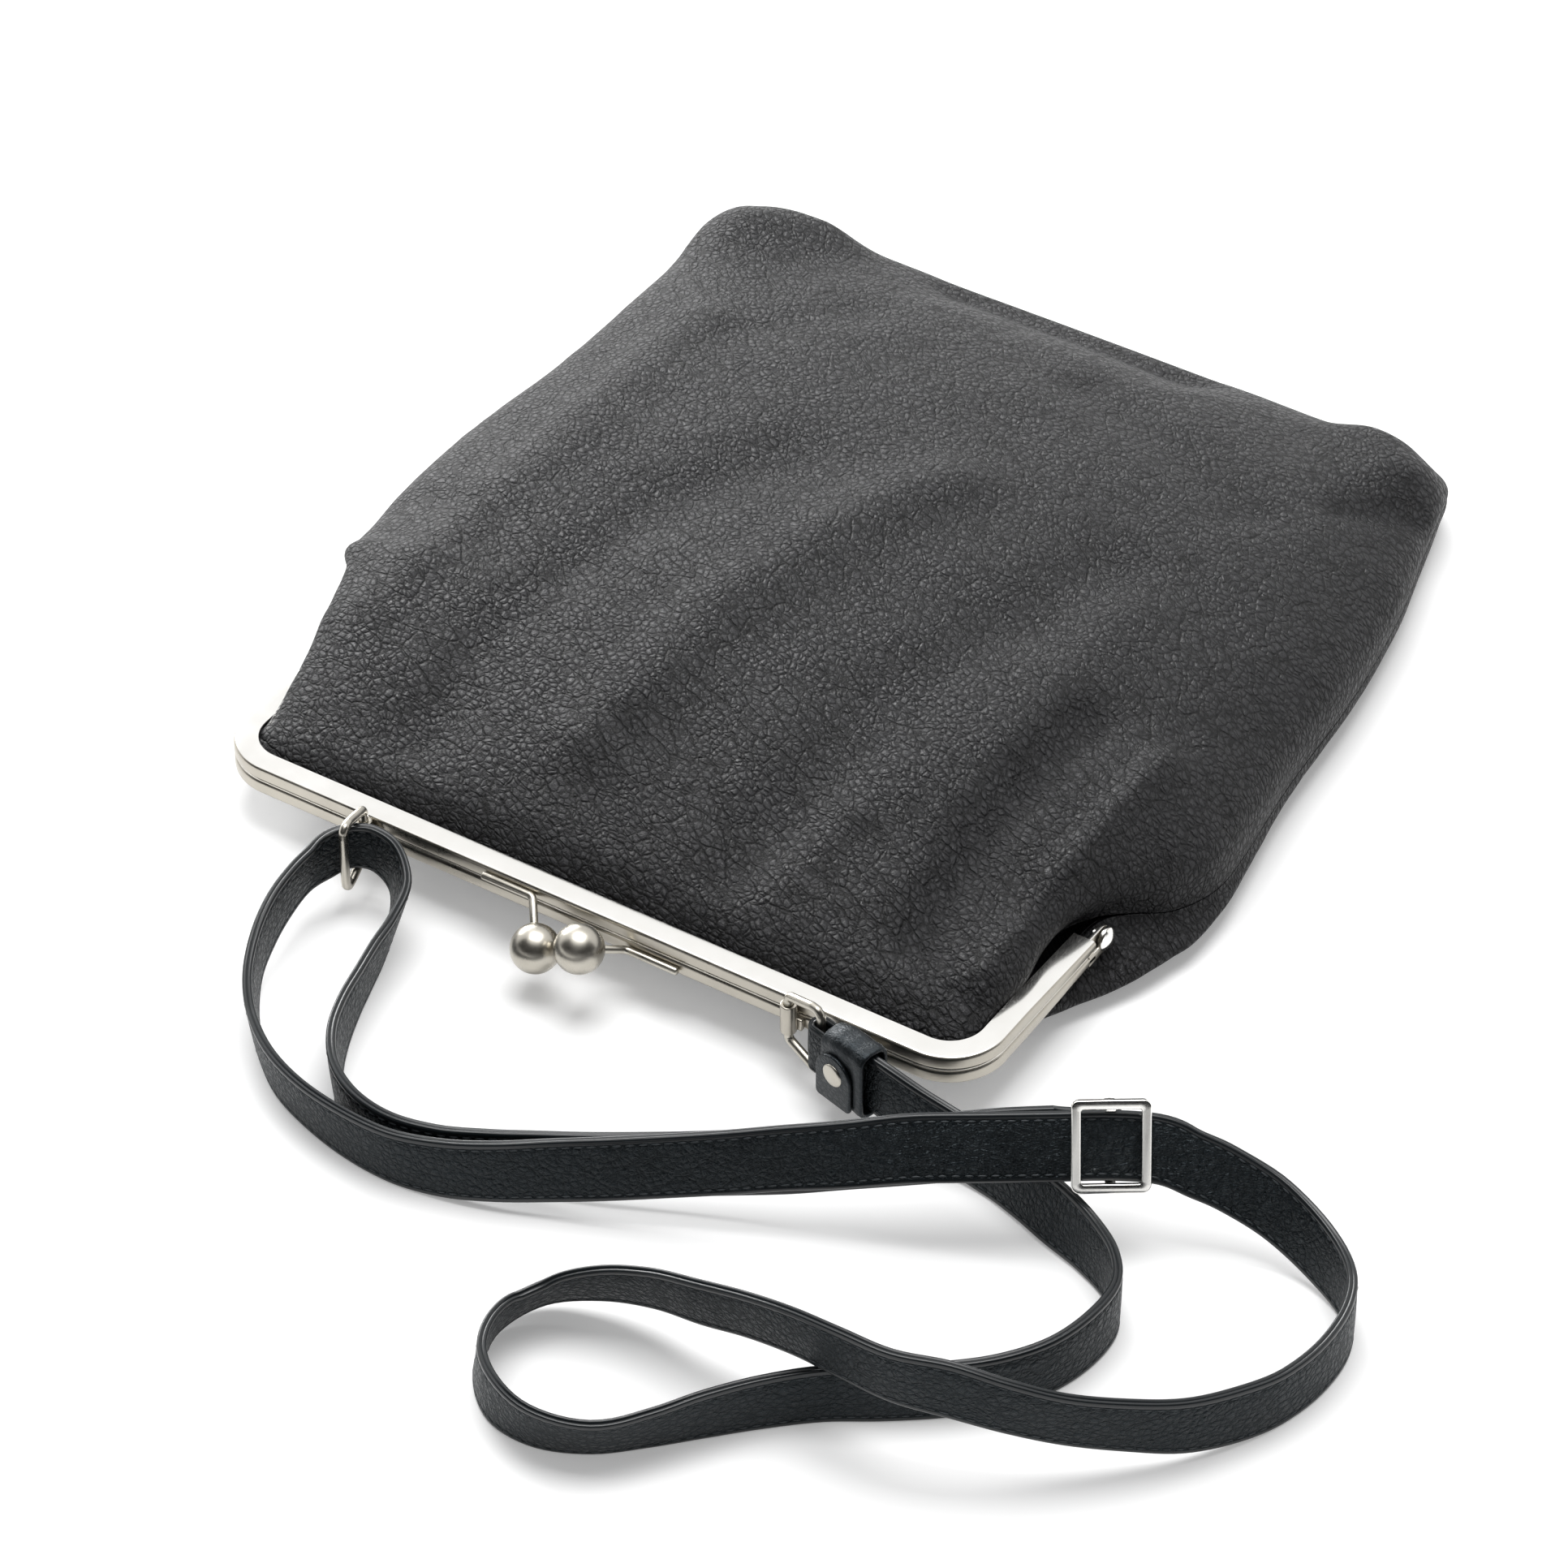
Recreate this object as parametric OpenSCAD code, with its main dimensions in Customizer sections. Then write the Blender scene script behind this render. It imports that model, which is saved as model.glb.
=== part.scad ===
// Kiss lock frame purse, lying on its back with its shoulder strap laid in loops in front of it.
// Millimetres. X runs along the frame bar, Y from the bar towards the bottom of the bag, Z up from the floor.
// Every piece is one module. The list NODES names them, and the value node picks one to draw.

/* [Frame] */
// outside width of the closed frame
frame_w = 248; // [200:1:300]
// width of the flat face of each frame half
face_w = 7; // [5:0.5:9]
// thickness of one frame half
half_t = 4.4; // [4.2:0.1:5]
// gap between the two closed halves
half_gap = 0.4; // [0.3:0.1:0.8]
// thickness of the frame's sheet metal
sheet_t = 0.6; // [0.5:0.1:0.8]
// radius of the bends along the frame's outer edges
edge_r = 1.1; // [0.9:0.1:1.4]
// outside radius of the frame's corners
corner_r = 17.4; // [14:0.2:30]
// distance from the bar's outer side to the hinge axis
hinge_y = 70; // [62:1:74]
// height of the line between the halves above the floor
seam_z = 18; // [17:0.5:22]

/* [Kiss lock] */
// diameter of each ball
ball_d = 14; // [12:0.5:15]
// distance between the two ball centres along the bar
ball_spacing = 14.4; // [14.4:0.1:16]
// how far the balls stand out from the bar
ball_reach = 13; // [11:0.5:16]
// diameter of the wire that carries each ball
stem_d = 2.3; // [2:0.1:2.6]

/* [Rings] */
// diameter of the ring wire
ring_wire = 2.6; // [2.2:0.1:2.8]
// distance of each ring from the middle of the bar
ring_x = 69; // [60:1:80]
// how far the ring's outer side stands from its tube
ring_reach = 13.3; // [13:0.1:16]
// height of the ring between the middles of its two arms
ring_h = 21.8; // [21.6:0.2:24]
// height of the bracket tube
tube_h = 9.5; // [8:0.5:10]

/* [Strap] */
// width of the strap
strap_w = 18.6; // [15:0.1:18.8]
// thickness of the strap
strap_t = 2.6; // [2:0.1:2.8]
// length of the leather wrap over the strap's end
wrap_l = 19; // [17:0.5:21]
// diameter of the rivet cap on the wrap
rivet_cap_d = 7; // [6:0.5:8]

/* [Slider] */
// outside length of the slider along the strap
slider_l = 20.6; // [19:0.1:24]
// outside height of the slider
slider_h = 25; // [25:0.5:27]
// width of the slider's side bars
slider_bar_w = 2.5; // [2:0.1:2.8]

/* [Bag] */
// distance from the bar's outer side to the bottom of the bag
bag_l = 312.4; // [260:0.1:340]
// thickness of the leather
leather_t = 1.5; // [1.2:0.1:1.8]
// thickness of the lining cloth
lining_t = 0.5; // [0.4:0.1:0.8]

/* [Hidden] */

nickel = [0.80, 0.79, 0.76];
leather = [0.20, 0.20, 0.21];
strap_black = [0.12, 0.14, 0.16];
lining_grey = [0.35, 0.35, 0.37];
cord_tan = [0.75, 0.68, 0.52];

// The origin lies under the middle of the bag's back, this far behind the bar's outer side.
origin_y = 150;
arm_end = hinge_y - 6;
taper_y = 30;
taper_drop = 1.2;
fit_gap = 0.05;
strip_end = 40;
tab_r = 3.4;
tab_t = 1.1;
rivet_r = 1.1;
front_y = 2.75;
tube_r = ring_wire / 2 + 1;
tube_z = seam_z + 0.5;
ball_r = ball_d / 2;
ball_rise = 3.4;
ball_bore = 2;
right_ring_turn = -17;
left_ring_turn = -78;
left_ring_z = seam_z + 1.6;
fold_w = 15;
fold_z = tube_z - 0.6;
fold_t = 1.9;
fold_r = ring_wire / 2 + 0.25;
wrap_turn = -15;
wrap_t = 1.4;
slider_turn = 34;
slider_lean = -26;
slider_low = [174, -13.8, 22.2];
slider_t = 1.8;
bar_r = 1.1;
bar_y = strap_t / 2 + 0.3 + fold_t + bar_r;

// Half of the U seen from above: d is how far the outline lies inside the frame's outer side.
module plan(d, end) {
  w = frame_w / 2 - d;
  r = corner_r - d;
  translate([-w, corner_r]) square([2 * w, end - corner_r]);
  translate([-w + r, d]) square([2 * (w - r), corner_r - d + 0.01]);
  for (s = [-1, 1]) translate([s * (w - r), corner_r]) circle(r = r, $fn = 72);
}

module plan_band(outer, inner, end) {
  difference() {
    plan(outer, end);
    plan(inner, end + 1);
  }
}

// Section of a half: a channel bent from sheet, open towards the bag. X runs inwards from the outer side.
// The part between the heights low and high is kept.
module channel_section(low, high) {
  intersection() {
    difference() {
      bent_outline(0);
      bent_outline(sheet_t);
    }
    translate([-1, low]) square([face_w + 2, high - low]);
  }
}
module bent_outline(cut) {
  r = edge_r - cut;
  translate([edge_r, cut]) square([face_w - edge_r + (cut > 0 ? 1 : 0), half_t - 2 * cut]);
  translate([cut, edge_r]) square([face_w - cut - 1, half_t - 2 * edge_r]);
  for (h = [edge_r, half_t - edge_r]) translate([edge_r, h]) circle(r = r, $fn = 32);
}

module arm(s, from, to, low, high) {
  translate([s * frame_w / 2, from, 0]) mirror([s > 0 ? 1 : 0, 0, 0]) translate([0, to - from, 0]) rotate([90, 0, 0])
    linear_extrude(to - from) channel_section(low, high);
}

// One frame half above the seam, with an eye on each arm. The arms' outer face slopes down to the hinge, so each
// arm is a straight wall up to split, and a top above low whose two runs meet in a mitre at taper_y.
// eye_x is how far each eye's outer side lies inside the frame's outer side.
module on_slope(a) { translate([0, taper_y, half_t]) rotate([-a, 0, 0]) children(); }
module mitre_side(y0) { translate([-frame_w, y0, -10]) cube([2 * frame_w, 100, 20]); }
module frame_half(eye_x) {
  slope = atan2(taper_drop, arm_end - taper_y);
  split = (half_t + taper_drop + 0.05) / 2;
  low = edge_r + taper_drop + 0.05;
  bar = frame_w / 2 - corner_r;
  translate([-bar, 0, 0]) rotate([90, 0, 90]) linear_extrude(2 * bar) channel_section(0, half_t);
  for (s = [-1, 1]) {
    translate([s * bar, corner_r, 0]) rotate(s > 0 ? -90 : 180) rotate_extrude(angle = 90, $fn = 72)
      translate([corner_r, 0]) mirror([1, 0]) channel_section(0, half_t);
    intersection() {
      arm(s, corner_r, arm_end, 0, split);
      on_slope(slope) translate([-frame_w, -100, split - half_t - 20]) cube([2 * frame_w, 200, 20]);
    }
    intersection() {
      arm(s, corner_r, taper_y + 1, low, half_t);
      on_slope(slope / 2) mitre_side(-100);
    }
    intersection() {
      on_slope(slope) translate([0, -taper_y, -half_t]) arm(s, taper_y - 1, arm_end + 1, low, half_t);
      on_slope(slope / 2) mitre_side(0);
      translate([-frame_w, taper_y - 1, 0]) cube([2 * frame_w, arm_end - taper_y + 1, half_t + 1]);
    }
    hinge_eye(s, eye_x);
  }
}

module hinge_eye(s, eye_x) {
  outer = frame_w / 2 - eye_x;
  low = half_gap / 2;
  difference() {
    union() {
      translate([s * (outer - tab_t / 2), hinge_y, -low]) rotate([0, 90, 0])
        cylinder(r = tab_r, h = tab_t, center = true, $fn = 48);
      translate([s * (outer - tab_t / 2) - tab_t / 2, arm_end - 3, 0])
        cube([tab_t, 7, half_t - taper_drop]);
    }
    translate([s * (outer - tab_t / 2), hinge_y, -low]) rotate([0, 90, 0])
      cylinder(r = rivet_r + fit_gap, h = tab_t + 2, center = true, $fn = 32);
  }
}

module upper() { translate([0, 0, seam_z + half_gap / 2]) children(); }
module lower() { translate([0, 0, seam_z - half_gap / 2]) mirror([0, 0, 1]) children(); }

module front_frame() { color(nickel) upper() frame_half(1.5); }
module back_frame() { color(nickel) lower() frame_half(0); }

module cord_strip() { translate([0, 0, 0.8]) linear_extrude(1.2) plan_band(1.2, face_w - 1.4, strip_end); }
module front_paper_cord() { color(cord_tan) upper() cord_strip(); }
module back_paper_cord() { color(cord_tan) lower() cord_strip(); }

module hinge_rivet(s) {
  color(nickel) translate([s * frame_w / 2, hinge_y, seam_z]) rotate([0, s * 90, 0]) {
    translate([0, 0, -4]) cylinder(r = rivet_r, h = 4.1, $fn = 32);
    translate([0, 0, 0.08]) intersection() {
      translate([0, 0, -3.6]) sphere(r = 5.1, $fn = 40);
      cylinder(r = 4, h = 2, $fn = 40);
    }
    translate([0, 0, -4]) cylinder(r = 2, h = 0.9, $fn = 32);
  }
}
module left_hinge_rivet() { hinge_rivet(-1); }
module right_hinge_rivet() { hinge_rivet(1); }

// Kiss lock. Each stem lies along its half, turns out from the bar and ends in a bore in its ball.
module rod(a, b, r, fn) {
  d = b - a;
  flat = norm([d[0], d[1]]);
  translate(a) rotate([0, atan2(flat, d[2]), atan2(d[1], d[0])]) cylinder(r = r, h = norm(d), $fn = fn);
}

function ball_at(s) = [s * ball_spacing / 2 + 1.9, -ball_reach, seam_z + s * ball_rise];
function stem_bend(s) = [s * 15.2 + 1.1, -stem_d / 2 - 0.05, seam_z - s * 2.3];
function stem_start(s) = stem_bend(s) + [s * 16, 0, 0];

module ball(s) {
  c = ball_at(s);
  way = (stem_bend(s) - c) / norm(stem_bend(s) - c);
  color(nickel) difference() {
    translate(c) sphere(d = ball_d, $fn = 36);
    rod(c + way * (ball_r - ball_bore), c + way * (ball_r + 2), stem_d / 2 + fit_gap, 24);
  }
}
module ball_stem(s) {
  c = ball_at(s);
  b = stem_bend(s);
  way = (b - c) / norm(b - c);
  color(nickel) {
    rod(c + way * (ball_r - ball_bore + 0.1), b, stem_d / 2, 24);
    rod(b, stem_start(s), stem_d / 2, 24);
    translate(b) sphere(d = stem_d + 0.06, $fn = 24);
  }
}
module front_ball() { ball(-1); }
module front_ball_stem() { ball_stem(-1); }
module back_ball() { ball(1); }
module back_ball_stem() { ball_stem(1); }

// Rings. Each bracket is a tube rolled from a strip that is soldered to the back half only.
module ring_bracket(s) {
  color(nickel) difference() {
    union() {
      translate([s * ring_x, -front_y, tube_z - tube_h / 2]) cylinder(r = tube_r, h = tube_h, $fn = 40);
      translate([s * ring_x - 3.5, -front_y + tube_r - 0.45, seam_z - half_gap / 2 - half_t + 0.3])
        cube([7, front_y - tube_r + 0.44, half_t - 0.6]);
      translate([s * ring_x - 1.2, -front_y + 0.5, seam_z - half_gap / 2 - half_t + 0.3])
        cube([2.4, front_y - 0.51, half_t - 0.6]);
    }
    translate([s * ring_x, -front_y, tube_z - tube_h / 2 - 1])
      cylinder(r = ring_wire / 2 + 0.08, h = tube_h + 2, $fn = 32);
  }
}
module left_ring_bracket() { ring_bracket(-1); }
module right_ring_bracket() { ring_bracket(1); }

// Corners of the ring in its own plane: distance from the tube, height above the ring's middle.
ring_shape = [[0, -6.6], [0, 6.6], [0.7, 7.7], [ring_reach - 3.6, ring_h / 2 - 0.5], [ring_reach - 1.4, ring_h / 2 - 0.4],
  [ring_reach - 0.2, ring_h / 2 - 1.6], [ring_reach, ring_h / 2 - 3.2], [ring_reach, 3.2 - ring_h / 2],
  [ring_reach - 0.2, 1.6 - ring_h / 2], [ring_reach - 1.4, 0.4 - ring_h / 2], [ring_reach - 3.6, 0.5 - ring_h / 2],
  [0.7, -7.7]];

module ring_wire_loop() {
  for (i = [0:len(ring_shape) - 1]) {
    a = ring_shape[i];
    b = ring_shape[(i + 1) % len(ring_shape)];
    rod([a[0], 0, a[1]], [b[0], 0, b[1]], ring_wire / 2, 16);
    translate([a[0], 0, a[1]]) sphere(d = ring_wire + 0.06, $fn = 16);
  }
}
module left_ring() {
  color(nickel) translate([-ring_x, -front_y, left_ring_z]) rotate(left_ring_turn) ring_wire_loop();
}
module right_ring() {
  color(nickel) translate([ring_x, -front_y, tube_z]) rotate(right_ring_turn) ring_wire_loop();
}

// The strap's end folded round the right ring, the wrap over it and the wrap's rivet.
module on_fold() {
  translate([ring_x, -front_y, fold_z]) rotate(right_ring_turn) translate([ring_reach, 0, 0])
    rotate(wrap_turn - right_ring_turn) children();
}

fold_l = 12;
rivet_u = 10;
module ring_fold() {
  outer = fold_r + fold_t;
  color(strap_black) on_fold() difference() {
    union() {
      translate([0, 0, -fold_w / 2]) cylinder(r = outer, h = fold_w, $fn = 40);
      translate([0, -outer, -fold_w / 2]) cube([fold_l, 2 * outer, fold_w]);
    }
    translate([0, 0, -fold_w / 2 - 1]) cylinder(r = fold_r, h = fold_w + 2, $fn = 32);
    translate([0, -fold_r, -fold_w / 2 - 1]) cube([fold_l + 1, 2 * fold_r, fold_w + 2]);
    translate([rivet_u, 0, 0]) rotate([90, 0, 0])
      cylinder(r = rivet_r + fit_gap, h = 2 * outer + 2, center = true, $fn = 32);
  }
}

wrap_in_y = fold_r + fold_t + 0.1;
wrap_out_y = wrap_in_y + wrap_t;
wrap_in_z = strap_w / 2 + 0.45;
wrap_out_z = wrap_in_z + wrap_t;
flap_t = 1.1;
module rounded_block(x0, x1, hy, hz, r) {
  translate([x0, 0, 0]) rotate([90, 0, 90]) linear_extrude(x1 - x0) {
    square([2 * hy, 2 * (hz - r)], center = true);
    square([2 * (hy - r), 2 * hz], center = true);
    for (a = [-1, 1], b = [-1, 1]) translate([a * (hy - r), b * (hz - r)]) circle(r = r, $fn = 32);
  }
}
module strap_wrap() {
  color(leather) on_fold() difference() {
    union() {
      rounded_block(1.6, 1.6 + wrap_l, wrap_out_y, wrap_out_z, 2.4);
      translate([rivet_u, -wrap_out_y + 0.01, -1.5]) rotate([90, 0, 0]) cylinder(r = 7.6, h = flap_t, $fn = 48);
      translate([rivet_u - 7.6, -wrap_out_y - flap_t + 0.01, -1.5]) cube([15.2, flap_t, wrap_out_z - 1]);
    }
    rounded_block(0, 3 + wrap_l, wrap_in_y, wrap_in_z, 0.8);
    translate([rivet_u, 0, 0]) rotate([90, 0, 0])
      cylinder(r = rivet_r + fit_gap, h = 20, center = true, $fn = 32);
  }
}
module wrap_rivet() {
  face = wrap_out_y + flap_t;
  color(nickel) on_fold() translate([rivet_u, 0, 0]) rotate([90, 0, 0]) {
    translate([0, 0, -wrap_out_y + 0.1]) cylinder(r = rivet_r, h = wrap_out_y + face, $fn = 32);
    translate([0, 0, face + 0.02]) intersection() {
      translate([0, 0, -rivet_cap_d * 0.9]) sphere(r = rivet_cap_d, $fn = 48);
      cylinder(r = rivet_cap_d / 2, h = 1.2, $fn = 48);
    }
  }
}
module wrap_rivet_back() {
  color(nickel) on_fold() translate([rivet_u, wrap_out_y + 0.02, 0]) rotate([-90, 0, 0]) difference() {
    cylinder(r = rivet_cap_d / 2 - 0.5, h = 0.9, $fn = 40);
    translate([0, 0, -1]) cylinder(r = 0.6, h = 1.3, $fn = 24);
  }
}

// Slider. Its own X runs along the strap, its Z across it and its -Y towards the viewer.
module on_slider() {
  rise = (strap_w / 2 + 0.5) * [-sin(slider_turn) * sin(-slider_lean), cos(slider_turn) * sin(-slider_lean), cos(slider_lean)];
  translate(slider_low + rise) rotate([0, 0, slider_turn]) rotate([slider_lean, 0, 0]) children();
}
module slider_outline(l, h, r) {
  square([l, h - 2 * r], center = true);
  square([l - 2 * r, h], center = true);
  for (a = [-1, 1], b = [-1, 1]) translate([a * (l / 2 - r), b * (h / 2 - r)]) circle(r = r, $fn = 32);
}
lug_z = slider_h / 2 - slider_bar_w;
module slider_frame() {
  color(nickel) on_slider() {
    translate([0, -strap_t / 2 - 0.15, 0]) rotate([90, 0, 0]) linear_extrude(slider_t) difference() {
      slider_outline(slider_l, slider_h, 2.2);
      slider_outline(slider_l - 2 * slider_bar_w, slider_h - 2 * slider_bar_w, 0.8);
    }
    for (s = [-1, 1]) difference() {
      translate([-2, -strap_t / 2 - 0.16, s > 0 ? lug_z : -slider_h / 2])
        cube([4, bar_y + bar_r + 0.9 + strap_t / 2, slider_bar_w]);
      translate([0, bar_y, 0]) cylinder(r = bar_r + 0.02, h = slider_h + 2, center = true, $fn = 32);
    }
  }
}
module slider_bar() {
  color(nickel) on_slider() translate([0, bar_y, 0]) cylinder(r = bar_r, h = slider_h - 0.4, center = true, $fn = 32);
}
tail_l = 14;
module slider_fold() {
  outer = bar_r + 0.1 + fold_t;
  color(strap_black) on_slider() translate([0, bar_y, -strap_w / 2 - 0.5]) difference() {
    union() {
      cylinder(r = outer, h = strap_w, $fn = 40);
      translate([-tail_l, -outer, 0]) cube([tail_l, strap_t, strap_w]);
      translate([-tail_l + 5, -outer, 0]) cube([tail_l - 5, outer, strap_w]);
    }
    translate([0, 0, -1]) cylinder(r = bar_r + 0.1, h = strap_w + 2, $fn = 32);
  }
}

// Strap paths. Each point is the middle of the strap's lower edge: x, y, height, lean of the strap in degrees.
long_path = [[94.4, -10, 8.6, 0], [104, -12.6, 8.2, 2], [115, -14.2, 4.8, 8], [127, -14.5, 1.6, 11],
  [139, -15.8, 0, 10], [150, -19, 0, 14], [161, -23, 0, 17], [173.4, -26.6, 0, 10], [185, -32.2, 0, 3],
  [191.8, -41.2, 0, 0], [192.5, -53.9, 0, -1], [188.7, -67.6, 0, 0], [180.8, -79.8, 0, 0],
  [170, -90, 0, 0], [158, -99, 0, 0], [146, -107, 0, 0], [134.6, -117.1, 0, 3], [123.9, -127.9, 0, 9],
  [114, -138.1, 0, 18], [103.6, -147.4, 0, 23], [90.9, -153, 0, 15], [78.1, -152.5, 0, 2],
  [68.4, -146.1, 0, -4], [61.6, -135.8, 0, -14], [59.6, -124, 0.6, -25], [65.7, -112.3, 2.8, -29],
  [79.1, -105.9, 6, -23], [93.9, -103.8, 9.3, -18], [109, -105, 12.7, -13], [123, -105.2, 15.9, -12],
  [138, -106.6, 18.9, -10], [153, -108.3, 20.3, -7], [167.5, -108.4, 20.3, -5], [181.5, -104.5, 19, 0],
  [194.1, -98.4, 15.4, -3], [205.9, -90.4, 11, -6], [217.9, -80.7, 7, -5], [228.6, -70.7, 3.5, -2],
  [236.9, -58.7, 1.2, 0], [242.8, -45.8, 0, -1], [246, -31.7, 0, 0], [245.4, -17.2, 0, 1],
  [239.6, -6, 0, -2], [226.8, 0.3, 1.6, -12], [212, 2.2, 6.4, -19], [199.8, -0.4, 12, -22],
  [191.8, -3.9, 15.9, -25], [184, -7.06, 20.6, -26], [174, -13.8, 22.2, -26], [161.6, -22.2, 22.2, -26],
  [147.5, -31.7, 22.2, -26], [131.3, -42.6, 22.2, -26], [116, -50.5, 19, -21], [101, -57, 15.6, -16],
  [88, -63.3, 12.6, -14], [74, -70.3, 9.9, -13], [61, -77, 7.6, -13], [48, -83, 5.3, -12],
  [34, -89, 3, -8], [20, -93, 0.8, -4], [5, -95, 0, 2], [-10, -93.9, 0, 5],
  [-25, -90.2, 0, 8], [-38.8, -84.5, 0, 8], [-50.7, -75.6, 0, 8], [-60.3, -66.2, 1.8, 4],
  [-67.4, -55.1, 4.8, -1], [-71.4, -43.4, 7, -3], [-73.9, -32.2, 8.3, -7], [-74.6, -22.3, 9.6, -9, 0.94],
  [-71.6, -15.6, 11.2, 0, 0.86], [-68.6, -10.1, 12.1, 0, 0.79]];
return_path = [[-62.6, -7, 11.2, 0, 0.84], [-55.2, -9, 7.8, 5, 0.95], [-50.2, -17.6, 4.4, 17], [-46.3, -28.4, 1.6, 14],
  [-43.3, -38.5, 0.4, 9], [-40, -48.6, 0, 6], [-35.1, -60.6, 0, 0], [-29.1, -71.3, 0, -4],
  [-21, -81, 0, -4], [-10.5, -88, 0, -1], [2, -90.6, 0, 1], [15, -88.3, 0, 2], [28.5, -83.4, 0.6, 5],
  [40, -78.9, 1.6, 8], [52, -74.2, 2.8, 11], [64, -68.6, 4, 13], [76, -62.7, 5.5, 14],
  [88.5, -56.7, 7.4, 16], [101, -50.8, 9.6, 18], [113, -44.6, 12.2, 21], [125, -38.8, 15, 24],
  [136.5, -33, 17.6, 26], [148.5, -26.3, 19.9, 26], [160, -18.5, 20.4, 26]];

function cubic(a, b, c, d, t) = 0.5 * (2 * b + (c - a) * t + (2 * a - 5 * b + 4 * c - d) * t * t
  + (3 * b - a - 3 * c + d) * t * t * t);
function smooth(p, sub) = let (last = len(p) - 1) concat(
  [for (i = [0:last - 1], j = [0:sub - 1])
    cubic(p[max(i - 1, 0)], p[i], p[i + 1], p[min(i + 2, last)], j / sub)], [p[last]]);

function split(faces) = [for (f = faces) each [[f[0], f[1], f[2]], [f[0], f[2], f[3]]]];

// A point's fifth value narrows the strap where it is pinched in the ring. A ribbon runs from point first to
// point end of the whole strap's path.
ribbon_steps = 3;
strap_path = smooth([for (q = concat(long_path, return_path)) len(q) > 4 ? q : concat(q, [1])], ribbon_steps);
module ribbon(first, end) {
  p = strap_path;
  last = ribbon_steps * (end - first);
  rings = [for (i = [ribbon_steps * first:ribbon_steps * end])
    let (d = p[min(i + 1, len(p) - 1)] - p[max(i - 1, 0)], l = norm([d[0], d[1]]), n = [-d[1] / l, d[0] / l, 0],
      up = [0, 0, cos(p[i][3])] + n * sin(p[i][3]), side = n * cos(p[i][3]) - [0, 0, sin(p[i][3])],
      c = [p[i][0], p[i][1], max(p[i][2], strap_t / 2 * abs(sin(p[i][3])))])
    [c - side * strap_t / 2, c + side * strap_t / 2, c + side * strap_t / 2 + up * strap_w * p[i][4],
      c - side * strap_t / 2 + up * strap_w * p[i][4]]];
  polyhedron([for (r = rings) each r], split(concat([[0, 1, 2, 3]],
    [for (i = [0:last - 1], k = [0:3])
      [4 * i + k, 4 * i + 4 + k, 4 * i + 4 + (k + 1) % 4, 4 * i + (k + 1) % 4]],
    [[4 * last + 3, 4 * last + 2, 4 * last + 1, 4 * last]])), convexity = 8);
}
start_end = 7;
ring_end = len(long_path) - 1;
module strap_start() { color(strap_black) ribbon(0, start_end); }
module strap_long() { color(strap_black) ribbon(start_end, ring_end); }
module strap_return() { color(strap_black) ribbon(ring_end, ring_end + len(return_path)); }

// Bag. Each row is one cross-section: y, left x, right x, height of its side edges, height of its middle,
// how far its left side and its right side swell out.
seam_in = frame_w / 2 - face_w - 0.3;
corner_in = frame_w / 2 - corner_r;
below_y = 75.4;
mouth_rows = [[7.4, -corner_in - 2, corner_in + 2, 20.4, 22, 0, 0], [9, -corner_in - 5.6, corner_in + 5.6, 20.4, 25, 0, 0],
  [12.5, 0.9 - seam_in, seam_in - 0.9, 20.4, 28.4, 0, 0], [18, -seam_in, seam_in, 20.4, 31.4, 0.6, 0.3],
  [28, -seam_in, seam_in, 20.6, 34.6, 3, 1], [40, -seam_in, seam_in, 21, 37.8, 8, 2.4],
  [52, -seam_in, seam_in, 21.8, 40.6, 12, 4], [64, -seam_in, seam_in, 21.6, 43, 16, 7],
  [75, -seam_in - 2, seam_in + 2, 18.6, 44.6, 19, 9]];
front_rows = [[75.4, -seam_in - 2, seam_in + 2, 18.5, 44.7, 19, 9], [84, -127, 124, 17, 45.6, 15, 7],
  [93, -140, 131.5, 14.8, 46.4, 7, 4], [108, -148, 136.3, 13.4, 47.4, 3, 3], [126, -149.5, 134.8, 13.2, 47.8, 3, 3],
  [158, -149, 130.5, 13, 46.8, 3, 3], [200, -147.6, 127, 13, 43.6, 3, 3], [240, -146.6, 120.4, 13, 38.6, 3, 3],
  [270, -146.6, 113, 12.6, 32.4, 3, 3], [289, -146, 107.4, 12, 26.4, 2.6, 2.6], [301, -144, 100, 11.4, 21, 2, 2],
  [308.6, -138, 90, 11, 16.6, 1, 1], [312.4, -128, 76, 11, 13.2, 0, 0]];
back_rows = [[7.4, -corner_in - 2, corner_in + 2, 15.6, 14, 0, 0], [9, -corner_in - 5.6, corner_in + 5.6, 15.6, 11, 0, 0],
  [12.5, 0.9 - seam_in, seam_in - 0.9, 15.6, 7.6, 0, 0], [18, -seam_in, seam_in, 15.6, 4, 0.3, 0.3],
  [28, -seam_in, seam_in, 15.4, 0.8, 1, 1], [38, -seam_in, seam_in, 15.2, 0, 3, 3],
  [52, -seam_in, seam_in, 14.8, 0, 7, 6], [64, -seam_in, seam_in, 14.8, 0, 12, 9],
  [75, -seam_in - 2, seam_in + 2, 17.8, 0, 15, 11], [84, -127, 124, 16.5, 0, 13, 8], [93, -140, 131.5, 14.4, 0, 6, 4],
  [108, -148, 136.3, 13, 0, 3, 3], [126, -149.5, 134.8, 12.8, 0, 3, 3], [158, -149, 130.5, 12.6, 0, 3, 3],
  [200, -147.6, 127, 12.6, 0, 3, 3], [240, -146.6, 120.4, 12.6, 0, 3, 3], [270, -146.6, 113, 12.2, 0, 3, 3],
  [289, -146, 107.4, 11.6, 0, 2.6, 2.6], [301, -144, 100, 11, 0.6, 2, 2], [308.6, -138, 90, 10.6, 4, 1, 1],
  [312.4, -128, 76, 10.6, 7.6, 0, 0]];

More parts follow.
